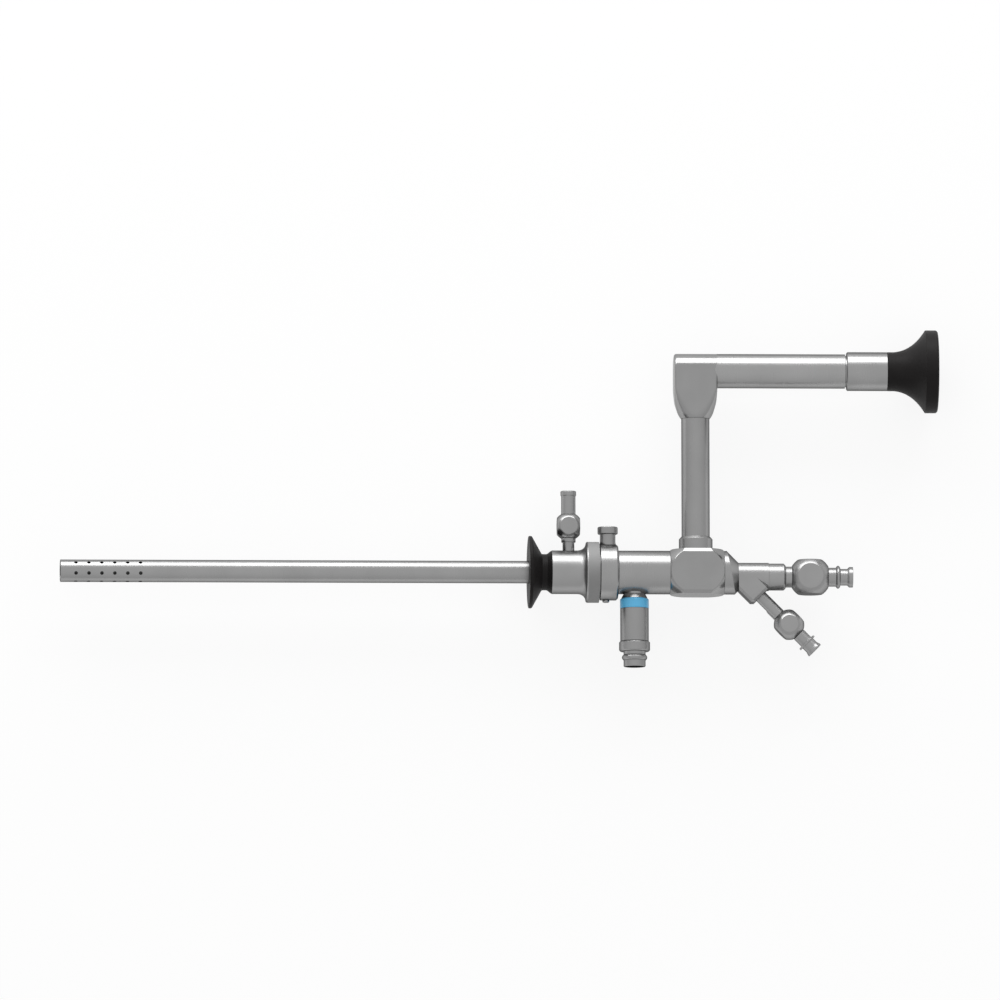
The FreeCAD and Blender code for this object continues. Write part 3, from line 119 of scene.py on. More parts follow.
class Join(Enum):
    """How one mesh is worked with another."""

    CUT = "DIFFERENCE"
    SHARE = "INTERSECT"


class Grain(Enum):
    """Axis that a piece was turned about, as an angle in degrees about +Z from +X."""

    SHAFT = 0.0
    ARM = 90.0
    BRANCH = -45.0


class Nodes:
    """The nodes of one material or world, with its main shader."""

    def __init__(self, owner: bpy.types.ID, shader: str = "Principled BSDF") -> None:
        """Turns the owner's nodes on.

        Args:
            owner: Material or world.
            shader: Name of its main shader.
        """
        owner.use_nodes = True
        self.tree = owner.node_tree
        self.shader = self.tree.nodes[shader]

    def fill(self, node: bpy.types.Node, inputs: Inputs) -> None:
        """Fills a node's inputs.

        Args:
            node: Node to fill.
            inputs: Another node's output or a plain value for each input.
        """
        for name, value in inputs.items():
            if isinstance(value, Socket):
                self.tree.links.new(value, node.inputs[name])
            else:
                node.inputs[name].default_value = value

    def add(self, kind: str, output: str, inputs: Inputs) -> Socket:
        """Adds a node.

        Args:
            kind: Kind of the node.
            output: Name of the output that is wanted.
            inputs: What goes into each input.

        Returns:
            The output.
        """
        node = self.tree.nodes.new(f"ShaderNode{kind}")
        self.fill(node, inputs)
        return node.outputs[output]

    def noise(self, vector: Socket, scale: float, detail: float) -> Socket:
        """Adds a noise texture, with its waves per metre and its octaves of finer noise."""
        return self.add("TexNoise", "Fac", {"Vector": vector, "Scale": scale, "Detail": detail})

    def spread(self, value: Socket, low: float, high: float) -> Socket:
        """Maps the middle of a noise's range to a low and a high value."""
        return self.add("MapRange", "Result", {
            "From Min": NOISE_LOW, "From Max": NOISE_HIGH, "To Min": low, "To Max": high,
            "Value": value})

    def computed(self, operation: str, first: Socket, second: Socket | float) -> Socket:
        """Combines two values.

        Args:
            operation: What is done with them.
            first: First value.
            second: Second value, from a node or plain.

        Returns:
            The result.
        """
        result = self.add("Math", "Value", {0: first, 1: second})
        result.node.operation = operation
        return result

    def relief(self, height: Socket, strength: float, depth: float) -> Socket:
        """Normal of a fine relief, with the share of it that shows and its depth in metres."""
        return self.add("Bump", "Normal", {
            "Strength": strength, "Distance": depth, "Height": height})

    def two_tone(self, value: Socket, dark: Triple, light: Triple) -> Socket:
        """Blends two close colours by a noise.

        Args:
            value: The noise.
            dark: Colour where the noise is low.
            light: Colour where the noise is high.

        Returns:
            The blended colour.
        """
        blend = self.add("ValToRGB", "Color", {"Fac": value})
        low, high = blend.node.color_ramp.elements
        low.position, low.color = NOISE_LOW, (*dark, 1.0)
        high.position, high.color = NOISE_HIGH, (*light, 1.0)
        return blend


def grey(level: float) -> Triple:
    """Neutral colour of one level."""
    return level, level, level


@dataclass(frozen=True)
class Finish:
    """What every finish has: a name and a way to make its material once."""

    name: str

    def material(self) -> bpy.types.Material:
        """Finds the finish's material, or makes it the first time.

        Returns:
            The material of this finish.
        """
        made = bpy.data.materials.get(self.name)
        if made is None:
            made = bpy.data.materials.new(self.name)
            nodes = Nodes(made)
            self.paint(nodes, nodes.add("TexCoord", "Object", {}))
        return made

    def paint(self, nodes: Nodes, where: Socket) -> None:
        """Sets the shader and adds the finish's own nodes.

        Args:
            nodes: The material's nodes.
            where: Coordinates on the piece.
        """
        raise NotImplementedError


@dataclass(frozen=True)
class BlastedSteel(Finish):
    """Bead-blasted stainless steel of the milled pieces, with a fine even grain."""

    dark: float = 0.34
    light: float = 0.36
    smooth: float = 0.19
    rough: float = 0.21
    rim: float = 0.6
    cloud_scale: float = 110.0
    grain_scale: float = 2600.0
    grain_detail: float = 2.0
    strength: float = 0.2
    depth: float = 0.0000004

    def paint(self, nodes: Nodes, where: Socket) -> None:
        """Paints the steel: clouds in colour, and a fine grain in gloss and relief.

        Args:
            nodes: The material's nodes.
            where: Coordinates on the piece.
        """
        grain = nodes.noise(self.mapped(nodes, where), self.grain_scale, self.grain_detail)
        clouds = nodes.noise(where, self.cloud_scale, 3.0)
        nodes.fill(nodes.shader, {
            "Metallic": 1.0, "Specular Tint": (*grey(self.rim), 1.0),
            "Base Color": nodes.two_tone(clouds, grey(self.dark), grey(self.light)),
            "Roughness": nodes.spread(grain, self.smooth, self.rough),
            "Normal": nodes.relief(grain, self.strength, self.depth)})

    def mapped(self, nodes: Nodes, where: Socket) -> Socket:
        """Coordinates of the grain, which runs no particular way."""
        return where


@dataclass(frozen=True)
class TurnedSteel(BlastedSteel):
    """Satin stainless steel with faint lines left by turning about the piece's axis."""

    dark: float = 0.355
    light: float = 0.385
    smooth: float = 0.27
    rough: float = 0.29
    rim: float = 0.2
    cloud_scale: float = 90.0
    grain_scale: float = 1400.0
    grain_detail: float = 4.0
    strength: float = 0.35
    depth: float = 0.0000003
    grain: Grain = Grain.SHAFT
    stretch: float = 0.03

    def mapped(self, nodes: Nodes, where: Socket) -> Socket:
        """Coordinates that draw the grain out to lines across the axis."""
        turn = (0.0, 0.0, -math.radians(self.grain.value))
        return nodes.add("Mapping", "Vector", {
            "Rotation": turn, "Scale": (1.0, self.stretch, self.stretch), "Vector": where})


@dataclass(frozen=True)
class BandedSteel(TurnedSteel):
    """Turned steel that is matt beyond one station of the shaft, as on a roughened flange."""

    matt_from: float = 0.0
    matt: float = 0.78

    def paint(self, nodes: Nodes, where: Socket) -> None:
        """Paints the steel, and then the matt band.

        Args:
            nodes: The material's nodes.
            where: Coordinates on the piece.
        """
        super().paint(nodes, where)
        gloss = nodes.shader.inputs["Roughness"].links[0].from_socket
        station = nodes.add("SeparateXYZ", "X", {"Vector": where})
        beyond = nodes.computed("GREATER_THAN", station, self.matt_from)
        matt = nodes.computed("MULTIPLY", beyond, self.matt)
        nodes.fill(nodes.shader, {"Roughness": nodes.computed("MAXIMUM", gloss, matt)})


@dataclass(frozen=True)
class Moulded(Finish):
    """Hard plastic, rubber or anodised trim, with a fine moulded grain; also the near-black sheet
    of painted shade in the light adaptor's bore.
    """

    dark: Triple = (0.012, 0.011, 0.011)
    light: Triple = (0.018, 0.016, 0.016)
    smooth: float = 0.42
    rough: float = 0.5
    grain_scale: float = 2200.0
    coat: float = 0.0
    index: float = 1.5
    strength: float = 0.3
    depth: float = 0.00001

    def paint(self, nodes: Nodes, where: Socket) -> None:
        """Paints the plastic: slight clouds in colour and gloss, and a fine grain.

        Args:
            nodes: The material's nodes.
            where: Coordinates on the piece.
        """
        grain = nodes.noise(where, self.grain_scale, 3.0)
        clouds = nodes.noise(where, 130.0, 2.0)
        nodes.fill(nodes.shader, {
            "Coat Weight": self.coat, "IOR": self.index,
            "Base Color": nodes.two_tone(clouds, self.dark, self.light),
            "Roughness": nodes.spread(clouds, self.smooth, self.rough),
            "Normal": nodes.relief(grain, self.strength, self.depth)})


@dataclass(frozen=True)
class CoatedGlass(Finish):
    """Optical glass with a faint tint from its coating."""

    edge: Triple = (0.74, 0.82, 0.9)
    tint: Triple = (0.82, 0.88, 0.93)
    clear: float = 0.9
    index: float = 1.52

    def paint(self, nodes: Nodes, where: Socket) -> None:
        """Paints the glass: clear, smooth and slightly uneven in tint.

        Args:
            nodes: The material's nodes.
            where: Coordinates on the piece.
        """
        clouds = nodes.noise(where, 160.0, 2.0)
        nodes.fill(nodes.shader, {
            "Transmission Weight": self.clear, "IOR": self.index,
            "Base Color": nodes.two_tone(clouds, self.edge, self.tint),
            "Roughness": nodes.spread(clouds, 0.02, 0.06)})


STEEL_SHAFT = TurnedSteel("steel_turned_along_shaft")
STEEL_ARM = TurnedSteel("steel_turned_along_arm", 0.34, 0.365, grain=Grain.ARM)
STEEL_OCULAR = TurnedSteel("steel_turned_ocular", 0.385, 0.41)
STEEL_BRANCH = TurnedSteel("steel_turned_along_branch", smooth=0.315, rough=0.335,
                           grain=Grain.BRANCH)
STEEL_CHANNEL = TurnedSteel("steel_turned_channel", smooth=0.315, rough=0.335)
STEEL_MILLED = BlastedSteel("steel_milled")
STEEL_INNER = TurnedSteel("steel_inner_tubes", smooth=0.3, rough=0.38)
# Painted shade: the inner shaft tube is near-black steel so the sheath's holes look dark; the real
# tube is plain steel.
STEEL_INNER_SHAFT_PAINTED_SHADE = TurnedSteel("steel_inner_shaft_painted_shade", 0.05, 0.07, 0.5, 0.6)
BLACK_PLASTIC = Moulded("moulded_black", (0.0085, 0.0075, 0.0075), (0.0115, 0.0105, 0.0105),
                        smooth=0.46, rough=0.55, index=1.22)
BLUE_MARKER = Moulded("blue_enamel", (0.082, 0.40, 0.67), (0.097, 0.435, 0.71),
                      smooth=0.3, rough=0.36, coat=0.25)
SEAL_RUBBER = Moulded("rubber_seal", grey(0.022), grey(0.035), smooth=0.6, rough=0.7)
# Painted shade: near-black sheet for the light adaptor's bore, standing in for the shade inside it.
PAINTED_SHADE_BORE = Moulded("painted_shade_in_bore", grey(0.008), grey(0.014), smooth=0.6, rough=0.7, index=1.2)
OPTICAL_GLASS = CoatedGlass("coated_glass")
FIBRE_FACE = Moulded("fibre_face", (0.03, 0.028, 0.025), (0.05, 0.048, 0.045),
                     smooth=0.12, rough=0.2, grain_scale=9000.0, coat=0.6)


@dataclass(frozen=True)
class Place:
    """Start and direction of a turned piece's axis in the plane of the instrument."""

    x: float = 0.0
    y: float = 0.0
    turn: float = 0.0

    def matrix(self) -> Matrix:
        """Matrix that takes the piece from its own axis to its place."""
        turn = Matrix.Rotation(math.radians(self.turn), 4, "Z")
        return Matrix.Translation((self.x, self.y, 0.0)) @ turn


def span(node: str, axis: int) -> Point:
    """Stations along X or Y where a node starts and ends."""
    low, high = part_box(node)
    return low[axis] / METRES, high[axis] / METRES


def centre(node: str) -> Point:
    """Middle of a node's box in the plane of the instrument."""
    low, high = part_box(node)
    return (low.x + high.x) / 2 / METRES, (low.y + high.y) / 2 / METRES


def standing(node: str, turn: float = UP) -> Place:
    """Place of a piece that is turned about a cross axis of the shaft, up or down."""
    return Place(centre(node)[0], 0.0, turn)


class Outline:
    """Half section of a turned piece, as stations along its axis and radii from it."""

    def __init__(self, *corners: Point) -> None:
        """Starts the outline.

        Args:
            corners: Station and radius of its first corners.
        """
        self.points: list[Point] = list(corners)

    @classmethod
    def stepped(cls, start: float, bore: float, *steps: Point) -> "Outline":
        """Outlines a stepped cylinder, with a straight bore or solid.

        Args:
            start: Station of its front.
            bore: Radius of its bore.
            steps: Station where each step ends, and its radius.

        Returns:
            The closed outline.
        """
        outline = cls((start, bore))
        for end, radius in steps:
            outline.lines((start, radius), (end, radius))
            start = end
        return outline.lines((start, bore))

    def lines(self, *corners: Point) -> "Outline":
        """Adds straight stretches to the next corners, and returns the outline itself."""
        self.points.extend(corners)
        return self

    def arc(self, middle: Point, end: Point, steps: int = 12) -> "Outline":
        """Adds a smooth stretch through a middle point.

        Args:
            middle: Station and radius halfway.
            end: Station and radius of its end.
            steps: Straight runs that it is made of.

        Returns:
            The outline itself.
        """
        start = Vector(self.points[-1])
        finish = Vector(end)
        pull = 2.0 * Vector(middle) - (start + finish) / 2.0
        for step in range(1, steps + 1):
            share = step / steps
            point = start * (1 - share) ** 2 + pull * 2 * share * (1 - share) + finish * share ** 2
            self.points.append((point.x, point.y))
        return self

    def turned(self, place: Place = Place(), segments: int = 96, ease: float = 0.1) -> Shape:
        """Spins the outline about its axis and eases its edges.

        Args:
            place: Where the axis lies.
            segments: Steps of the full turn.
            ease: Width of the eased edges.

        Returns:
            The closed mesh.
        """
        shape = bmesh.new()
        verts = [shape.verts.new((station, radius, 0.0)) for station, radius in self.points]
        pairs = list(zip(verts, verts[1:] + verts[:1]))
        edges = [shape.edges.new(pair) for pair in pairs
                 if pair[0].co.y > 1e-6 or pair[1].co.y > 1e-6]
        bmesh.ops.spin(shape, geom=verts + edges, cent=(0, 0, 0), axis=(1, 0, 0), dvec=(0, 0, 0),
                       angle=FULL_TURN, steps=segments, use_merge=True, use_duplicate=False)
        bmesh.ops.remove_doubles(shape, verts=shape.verts, dist=MERGE)
        bmesh.ops.recalc_face_normals(shape, faces=shape.faces)
        eased(shape, ease)
        shape.transform(place.matrix())
        return shape


def eased(shape: Shape, width: float, limit: float = 24.0) -> None:
    """Bevels every edge that is sharper than a limit.

    Args:
        shape: Mesh to change.
        width: Width of the bevel.
        limit: Angle in degrees between faces from which an edge counts as sharp.
    """
    sharp = [edge for edge in shape.edges
             if len(edge.link_faces) == 2 and edge.calc_face_angle(0.0) > math.radians(limit)]
    if sharp and width > 0.0:
        bmesh.ops.bevel(shape, geom=sharp, offset=width, offset_type="OFFSET", affect="EDGES",
                        segments=2, profile=0.5, material=-1, clamp_overlap=True, loop_slide=True)


def faced(shape: Shape, point: Triple, outward: Triple) -> None:
    """Cuts a mesh flat with a plane and closes the cut.

    Args:
        shape: Mesh to change.
        point: A point of the plane.
        outward: Normal of the plane, towards what is cut off.
    """
    geometry = shape.verts[:] + shape.edges[:] + shape.faces[:]
    cut = bmesh.ops.bisect_plane(shape, geom=geometry, dist=1e-5, plane_co=point,
                                 plane_no=outward, clear_outer=True, clear_inner=False)
    rim = [item for item in cut["geom_cut"] if isinstance(item, bmesh.types.BMEdge)]
    bmesh.ops.holes_fill(shape, edges=rim, sides=0)


def squared(shape: Shape, half: float) -> None:
    """Cuts a mesh flat on its four sides along the axis, at half its width across the flats."""
    for side in SIDES:
        faced(shape, tuple(half * axis for axis in side), side)


def linked(name: str, data: bpy.types.ID) -> bpy.types.Object:
    """Makes an object and puts it in the scene.

    Args:
        name: Name of the object.
        data: Mesh, camera or lamp that it shows.

    Returns:
        The new object.
    """
    item = bpy.data.objects.new(name, data)
    bpy.context.scene.collection.objects.link(item)
    return item


def solid(name: str, shape: Shape) -> bpy.types.Object:
    """Makes an object of a working mesh.

    Args:
        name: Name of the object and of its mesh.
        shape: The working mesh, freed here.

    Returns:
        The new object.
    """
    mesh = bpy.data.meshes.new(name)
    shape.to_mesh(mesh)
    shape.free()
    return linked(name, mesh)


def carved(shape: Shape, tool: Shape, join: Join = Join.CUT) -> Shape:
    """Cuts one mesh with another, or keeps what they share.

    Args:
        shape: Mesh that is worked, freed here.
        tool: Mesh that works it, freed here.
        join: Whether the tool is taken out or only the shared part stays.

    Returns:
        The worked mesh.
    """
    work = [solid("carved_blank", shape), solid("carved_tool", tool)]
    modifier = work[0].modifiers.new("carve", "BOOLEAN")
    modifier.operation = join.value
    modifier.solver = "EXACT"
    modifier.object = work[1]
    graph = bpy.context.evaluated_depsgraph_get()
    result = bmesh.new()
    result.from_mesh(work[0].evaluated_get(graph).to_mesh())
    for item in work:
        mesh = item.data
        bpy.data.objects.remove(item)
        bpy.data.meshes.remove(mesh)
    return result


class Bench:
    """Puts finished meshes on the frame's bodies in the place of the nodes that they dress."""

    def __init__(self, frame: dict[str, Any]) -> None:
        """Reads which body and which material slot each node has.

        Args:
            frame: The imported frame, with its record.
        """
        record = frame["record"]
        bodies = record["behaviour"]["bodies"]
        self.nodes: dict[str, bpy.types.Object] = frame["nodes"]
        self.body = {node: body for body, group in bodies.items() for node in group}
        self.slot = {part["node"]: part["material_slot"] for part in record["subparts"]}
        self.count = 0

    def put(self, shape: Shape, node: str, finish: Finish) -> None:
        """Makes an object of a mesh and lets it stand for a node.

        Args:
            shape: Mesh in millimetres, freed here.
            node: Node that it replaces.
            finish: Its finish.
        """
        piece = self.add(shape, f"{node}_dressed", self.body[node], self.slot[node], finish)
        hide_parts(node)

    def add(self, shape: Shape, name: str, body: str, slot: str,
            finish: Finish) -> bpy.types.Object:
        """Makes an object of a mesh, beside the nodes.

        Args:
            shape: Mesh in millimetres, freed here.
            name: Name of the object.
            body: Body that it rides on.
            slot: Material slot of the record that it belongs to; not used.
            finish: Its finish.

        Returns:
            The new object.
        """
        piece = solid(name, shape)
        mesh = piece.data
        mesh.transform(Matrix.Scale(METRES, 4))
        mesh.shade_smooth()
        mesh.set_sharp_from_angle(angle=math.radians(SMOOTH_BELOW))
        mesh.materials.append(finish.material())
        even = piece.modifiers.new("even_shading", "WEIGHTED_NORMAL")
        even.keep_sharp = True
        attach(piece, body)
        self.count += 1
        LOG.info("%s: %d faces, finish %s", piece.name, len(mesh.polygons), finish.name)
        return piece

    def refine(self, node: str, finish: Finish, ease: float) -> None:
        """Dresses a node with a cleaned copy of its own mesh, with eased edges.

        Args:
            node: Node to copy.
            finish: Its finish.
            ease: Width of the eased edges.
        """
        shape = bmesh.new()
        shape.from_mesh(self.nodes[node].data)
        shape.transform(Matrix.Scale(1 / METRES, 4))
        bmesh.ops.remove_doubles(shape, verts=shape.verts, dist=MERGE)
        bmesh.ops.dissolve_limit(shape, angle_limit=math.radians(0.6), verts=shape.verts,
                                 edges=shape.edges, use_dissolve_boundaries=False)
        eased(shape, ease)
        self.put(shape, node, finish)

    def paint(self, node: str, finish: Finish) -> None:
        """Gives a node that stays as it is its finish.

        Args:
            node: Node to paint.
            finish: Its finish.
        """
        material = finish.material()
        for slot in self.nodes[node].material_slots:
            slot.link = "OBJECT"
            slot.material = material
        LOG.info("%s: kept, finish %s", node, finish.name)


@dataclass
class Sheath:
    """Outer sheath: perforated tube, finger disc, hub and the irrigation connector."""

    bench: Bench
    tube_radius: float = 4.335
    tube_wall: float = 0.35
    end_radius: float = 4.15
    hole_radius: float = 0.7
    hole_rings: int = 6
    holes_per_ring: int = 6
    hole_pitch: float = 5.0
    hole_margin: float = 5.9
    hole_turn: float = 17.5
    disc_radius: float = 14.0
    disc_land: float = 1.2
    cone_end: float = 5.1
    disc_neck: float = 7.0
    disc_neck_end: float = 7.1
    hub_radius: float = 8.425
    fillet: float = 3.1
    flange_radius: float = 11.775
    flange_width: float = 5.0
    flange_chamfer: float = 0.5
    spigot_radius: float = 6.6
    spigot_length: float = 5.8
    neck_radius: float = 2.275
    neck_bore: float = 1.1
    collar_radius: float = 2.775
    collar_height: float = 1.54
    hose_radius: float = 2.775
    hose_bore: float = 1.8
    lip_radius: float = 3.025
    lip_length: float = 2.0

    def build(self) -> None:
        """Builds every piece of the sheath."""
        self.tube()
        self.disc()
        self.hub()
        self.connector()
        self.bench.paint("hub_seal_ring", SEAL_RUBBER)

    def tube(self) -> None:
        """Perforated tube with its drilled rings of holes."""
        start, end = span("outer_sheath_tube", X)
        outline = Outline.stepped(start, self.tube_radius - self.tube_wall,
                                  (0.0, self.tube_radius), (end, self.end_radius))
        drills = bmesh.new()
        for ring in range(self.hole_rings):
            station = start + self.hole_margin + ring * self.hole_pitch
            for row in range(self.holes_per_ring):
                angle = math.radians(self.hole_turn + row * 360.0 / self.holes_per_ring)
                drill = Matrix.Translation((station, 0, 0)) @ Matrix.Rotation(angle, 4, "X")
                drill = drill @ Matrix.Translation((0, 0, self.tube_radius))
                bmesh.ops.create_cone(drills, cap_ends=True, segments=24, depth=2.0, matrix=drill,
                                      radius1=self.hole_radius, radius2=self.hole_radius)
        self.bench.put(carved(outline.turned(ease=0.05), drills), "outer_sheath_tube", STEEL_SHAFT)

    def disc(self) -> None:
        """Black finger disc."""
        start, end = span("finger_disc", X)
        bore = self.end_radius + FIT
        outline = Outline(
            (start, bore), (start, self.disc_radius), (start + self.disc_land, self.disc_radius),
            (start + self.cone_end, self.disc_neck), (start + self.disc_neck_end, self.disc_neck),
            (end, self.hub_radius), (end, bore))
        self.bench.put(outline.turned(Place(), 128, 0.3), "finger_disc", BLACK_PLASTIC)

    def hub(self) -> None:
        """Hub with its filleted flange and the spigot behind it."""
        start, end = span("sheath_hub", X)
        bore = self.end_radius + FIT
        flange_end = end - self.spigot_length
        flange = flange_end - self.flange_width
        fillet = flange - self.fillet
        lean = self.fillet * DIAGONAL
        top = self.hub_radius + self.fillet
        edge = flange + self.flange_chamfer
        outline = Outline((start, bore), (start, self.hub_radius), (fillet, self.hub_radius))
        outline.arc((fillet + lean, top - lean), (flange, top)).lines(
            (edge, self.flange_radius), (flange_end, self.flange_radius),
            (flange_end, self.spigot_radius), (end, self.spigot_radius), (end, bore))
        finish = BandedSteel("steel_of_hub", smooth=0.335, rough=0.355,
                             matt_from=(edge + 0.1) * METRES)
        self.bench.put(outline.turned(Place(), 128, 0.12), "sheath_hub", finish)

    def connector(self) -> None:
        """Neck and collar under the irrigation valve, and the hose connector above it."""
        start, end = span("irrigation_neck", Y)
        outline = Outline.stepped(start, self.neck_bore,
                                  (end - self.collar_height, self.neck_radius),
                                  (end, self.collar_radius))
        place = standing("irrigation_neck")
        self.bench.put(outline.turned(place, 72), "irrigation_neck", STEEL_ARM)
        start, end = span("irrigation_hose_connector", Y)
        lip = end - self.lip_length
        edge = self.lip_radius - self.hose_radius
        outline = Outline(
            (start, self.hose_bore), (start, self.hose_radius), (lip, self.hose_radius),
            (lip + edge, self.lip_radius), (end - edge, self.lip_radius),
            (end, self.hose_radius), (end, self.hose_bore))
        place = standing("irrigation_hose_connector")
        self.bench.put(outline.turned(place, 72, 0.08), "irrigation_hose_connector", STEEL_ARM)


@dataclass
class Valve:
    """One stopcock: a ball body with flats, and its plug, retainer ring and lever behind.

    The bore is a radius, and the plug a diameter, as the wall in front of it is a thickness.
    """

    bench: Bench
    name: str
    finish: TurnedSteel
    ball: float
    length: float
    flats: float
    bore: float
    plug: float
    wall: float
    turn: float
    ease: float = 0.22
    arc_steps: int = 40
    shoulder: float = 0.6
    retainer: float = 1.0

    def build(self) -> None:
        """Builds the four pieces of the valve."""
        self.body()
        self.bench.refine(f"{self.name}_valve_plug", STEEL_INNER, 0.06)
        self.bench.refine(f"{self.name}_valve_retainer", STEEL_INNER, 0.06)
        self.bench.refine(f"{self.name}_valve_lever", STEEL_MILLED, 0.25)

    def body(self) -> None:
        """Ball body: turned about the tube, faced on four sides and bored."""
        half = self.length / 2
        reach = math.atan2(half, math.sqrt(self.ball ** 2 - half ** 2))
        outline = Outline((-half, 0.0))
        for step in range(self.arc_steps + 1):
            angle = -reach + 2 * reach * step / self.arc_steps
            outline.lines((self.ball * math.sin(angle), self.ball * math.cos(angle)))
        body = outline.lines((half, 0.0)).turned(ease=0.0)
        squared(body, self.flats / 2)
        eased(body, self.ease, 20.0)
        body = carved(body, self.seat())
        passage = Outline.stepped(-half - CLEAR, 0.0, (half + CLEAR, self.bore))
        body = carved(body, passage.turned(Place(), 48, 0.0))
        node = f"{self.name}_valve_body"
        body.transform(Place(*centre(node), self.turn).matrix())
        self.bench.put(body, node, self.finish)

    def seat(self) -> Shape:
        """Seat of the plug, open at the back, with the wider seat of its retainer.

        Returns:
            The closed mesh of the hollow.
        """
        flat = self.flats / 2
        radius = self.plug / 2 + FIT
        outline = Outline.stepped(self.wall - flat, 0.0, (flat - self.retainer, radius),
                                  (flat + CLEAR, radius + self.shoulder))
        seat = outline.turned(Place(), 72, 0.0)
        seat.transform(Matrix.Rotation(math.radians(90.0), 4, "Y"))
        return seat


@dataclass
class Lock:
    """Lock ring with its knob and guide screw, and the socket that it turns on."""

    bench: Bench
    stem_radius: float = 1.5
    stem_depth: float = 1.57
    foot_radius: float = 3.2
    foot_height: float = 1.3
    neck_radius: float = 3.0
    neck_height: float = 3.1
    head_radius: float = 3.9
    ring_radius: float = 10.85

    def build(self) -> None:
        """Builds the ring's pieces and paints the socket."""
        self.bench.refine("lock_ring", STEEL_SHAFT, 0.12)
        self.bench.refine("lock_screw", STEEL_ARM, 0.08)
        self.bench.paint("lock_socket", STEEL_INNER)
        self.knob()

    def knob(self) -> None:
        """Mushroom knob on the ring."""
        _, end = span("lock_knob", Y)
        stem = self.ring_radius - self.stem_depth
        foot = math.sqrt(self.ring_radius ** 2 - self.foot_radius ** 2)
        neck = foot + self.foot_height
        head = neck + self.neck_height
        outline = Outline(
            (stem, 0.0), (stem, self.stem_radius), (foot, self.stem_radius),
            (foot, self.foot_radius), (neck, self.neck_radius), (head, self.neck_radius),
            (head, self.head_radius), (end, self.head_radius), (end, 0.0))
        self.bench.put(outline.turned(standing("lock_knob"), 72, 0.35), "lock_knob", STEEL_ARM)


@dataclass
class Barrel:
    """Main tube, block and nose of the telescope."""

    bench: Bench
    radius: float = 8.425
    wall: float = 1.0
    half: float = 8.75
    chamfer: float = 1.3
    chamfer_depth: float = 0.9
    turned: float = 5.6
    bulge: float = 0.62
    run_out: float = 0.3
    spigot: float = 4.0

    def build(self) -> None:
        """Builds the barrel."""
        start, end = span("main_tube", X)
        outline = Outline.stepped(start, self.radius - self.wall, (end, self.radius))
        self.bench.put(outline.turned(Place(), 128), "main_tube", STEEL_SHAFT)
        self.block()
        self.bench.refine("block_nose", STEEL_SHAFT, 0.15)

    def block(self) -> None:
        """Square block with chamfered edges and turned ends."""
        front, end = span("main_block", X)
        start = front + self.spigot
        corner = self.half - self.chamfer
        radius = self.radius + FIT
        full = math.hypot(self.half, corner) + self.run_out
        bulge = radius + (full - radius) * self.bulge
        outline = Outline((start, 0.0), (start, radius))
        outline.arc((start + self.turned / 2, bulge), (start + self.turned, full))
        outline.lines((end - self.turned, full))
        outline.arc((end - self.turned / 2, bulge), (end, radius))
        block = outline.lines((end, 0.0)).turned(Place(), 128, 0.0)
        squared(block, self.half)
        slope = math.atan2(self.chamfer_depth, self.chamfer)
        for y, z in ((1, 1), (1, -1), (-1, 1), (-1, -1)):
            side = (0.0, y * math.sin(slope), z * math.cos(slope))
            faced(block, (0.0, y * corner, z * self.half), side)
        eased(block, 0.12, 18.0)
        self.bench.put(block, "main_block", STEEL_MILLED)


@dataclass
class WorkingChannel:
    """Y body, sleeve and luer of the straight channel, with the slanted branch."""

    bench: Bench
    drop: float = 1.6
    bore: float = 1.6
    sleeve_radius: float = 5.2
    sleeve_seat: float = 3.0
    sleeve_length: float = 6.6
    sleeve_chamfer: float = 0.8
    sleeve_neck: float = 4.025
    neck_radius: float = 3.65
    neck_length: float = 2.9
    ring_radius: float = 4.45
    ring_length: float = 1.7
    groove_radius: float = 3.2
    groove_length: float = 2.7
    flange_radius: float = 3.95
    socket_radius: float = 2.14
    socket_depth: float = 5.0
    socket_floor: float = 1.99
    branch_radius: float = 2.43
    branch_bore: float = 1.2

    def build(self) -> None:
        """Builds the channel's pieces."""
        self.bench.refine("y_body", STEEL_CHANNEL, 0.15)
        self.sleeve()
        self.luer()
        low, high = span("branch_tube", X)
        half = ((high - low) / DIAGONAL - 2 * self.branch_radius) / 2
        outline = Outline.stepped(-half, self.branch_bore, (half, self.branch_radius))
        tube = outline.turned(Place(*centre("branch_tube"), Grain.BRANCH.value), 72)
        self.bench.put(tube, "branch_tube", STEEL_BRANCH)
        self.bench.refine("branch_luer", STEEL_BRANCH, 0.08)

    def sleeve(self) -> None:
        """Sleeve behind the Y body."""
        front, end = span("channel_sleeve", X)
        start = front + self.sleeve_seat
        shoulder = start + self.sleeve_length
        radius, chamfer = self.sleeve_radius, self.sleeve_chamfer
        outline = Outline(
            (start, self.bore), (start, radius), (shoulder - chamfer, radius),
            (shoulder, radius - chamfer), (shoulder, self.sleeve_neck), (end, self.sleeve_neck),
            (end, self.bore))
        self.bench.put(outline.turned(Place(0, -self.drop)), "channel_sleeve", STEEL_CHANNEL)

    def luer(self) -> None:
        """Stepped luer connector of the working channel."""
        start, end = span("channel_luer", X)
        ring = start + self.neck_length
        groove = ring + self.ring_length
        flange = groove + self.groove_length
        slope = self.flange_radius - self.groove_radius
        floor = end - self.socket_depth
        outline = Outline((start, self.bore), (start, self.neck_radius), (ring, self.neck_radius))
        outline.arc((ring + self.ring_length / 2, self.ring_radius), (groove, self.neck_radius))
        outline.lines(
            (groove, self.groove_radius), (flange, self.groove_radius),
            (flange + slope, self.flange_radius), (end, self.flange_radius),
            (end, self.socket_radius), (floor, self.socket_floor), (floor, self.bore))
        shape = outline.turned(Place(0, -self.drop), ease=0.08)
        self.bench.put(shape, "channel_luer", STEEL_CHANNEL)


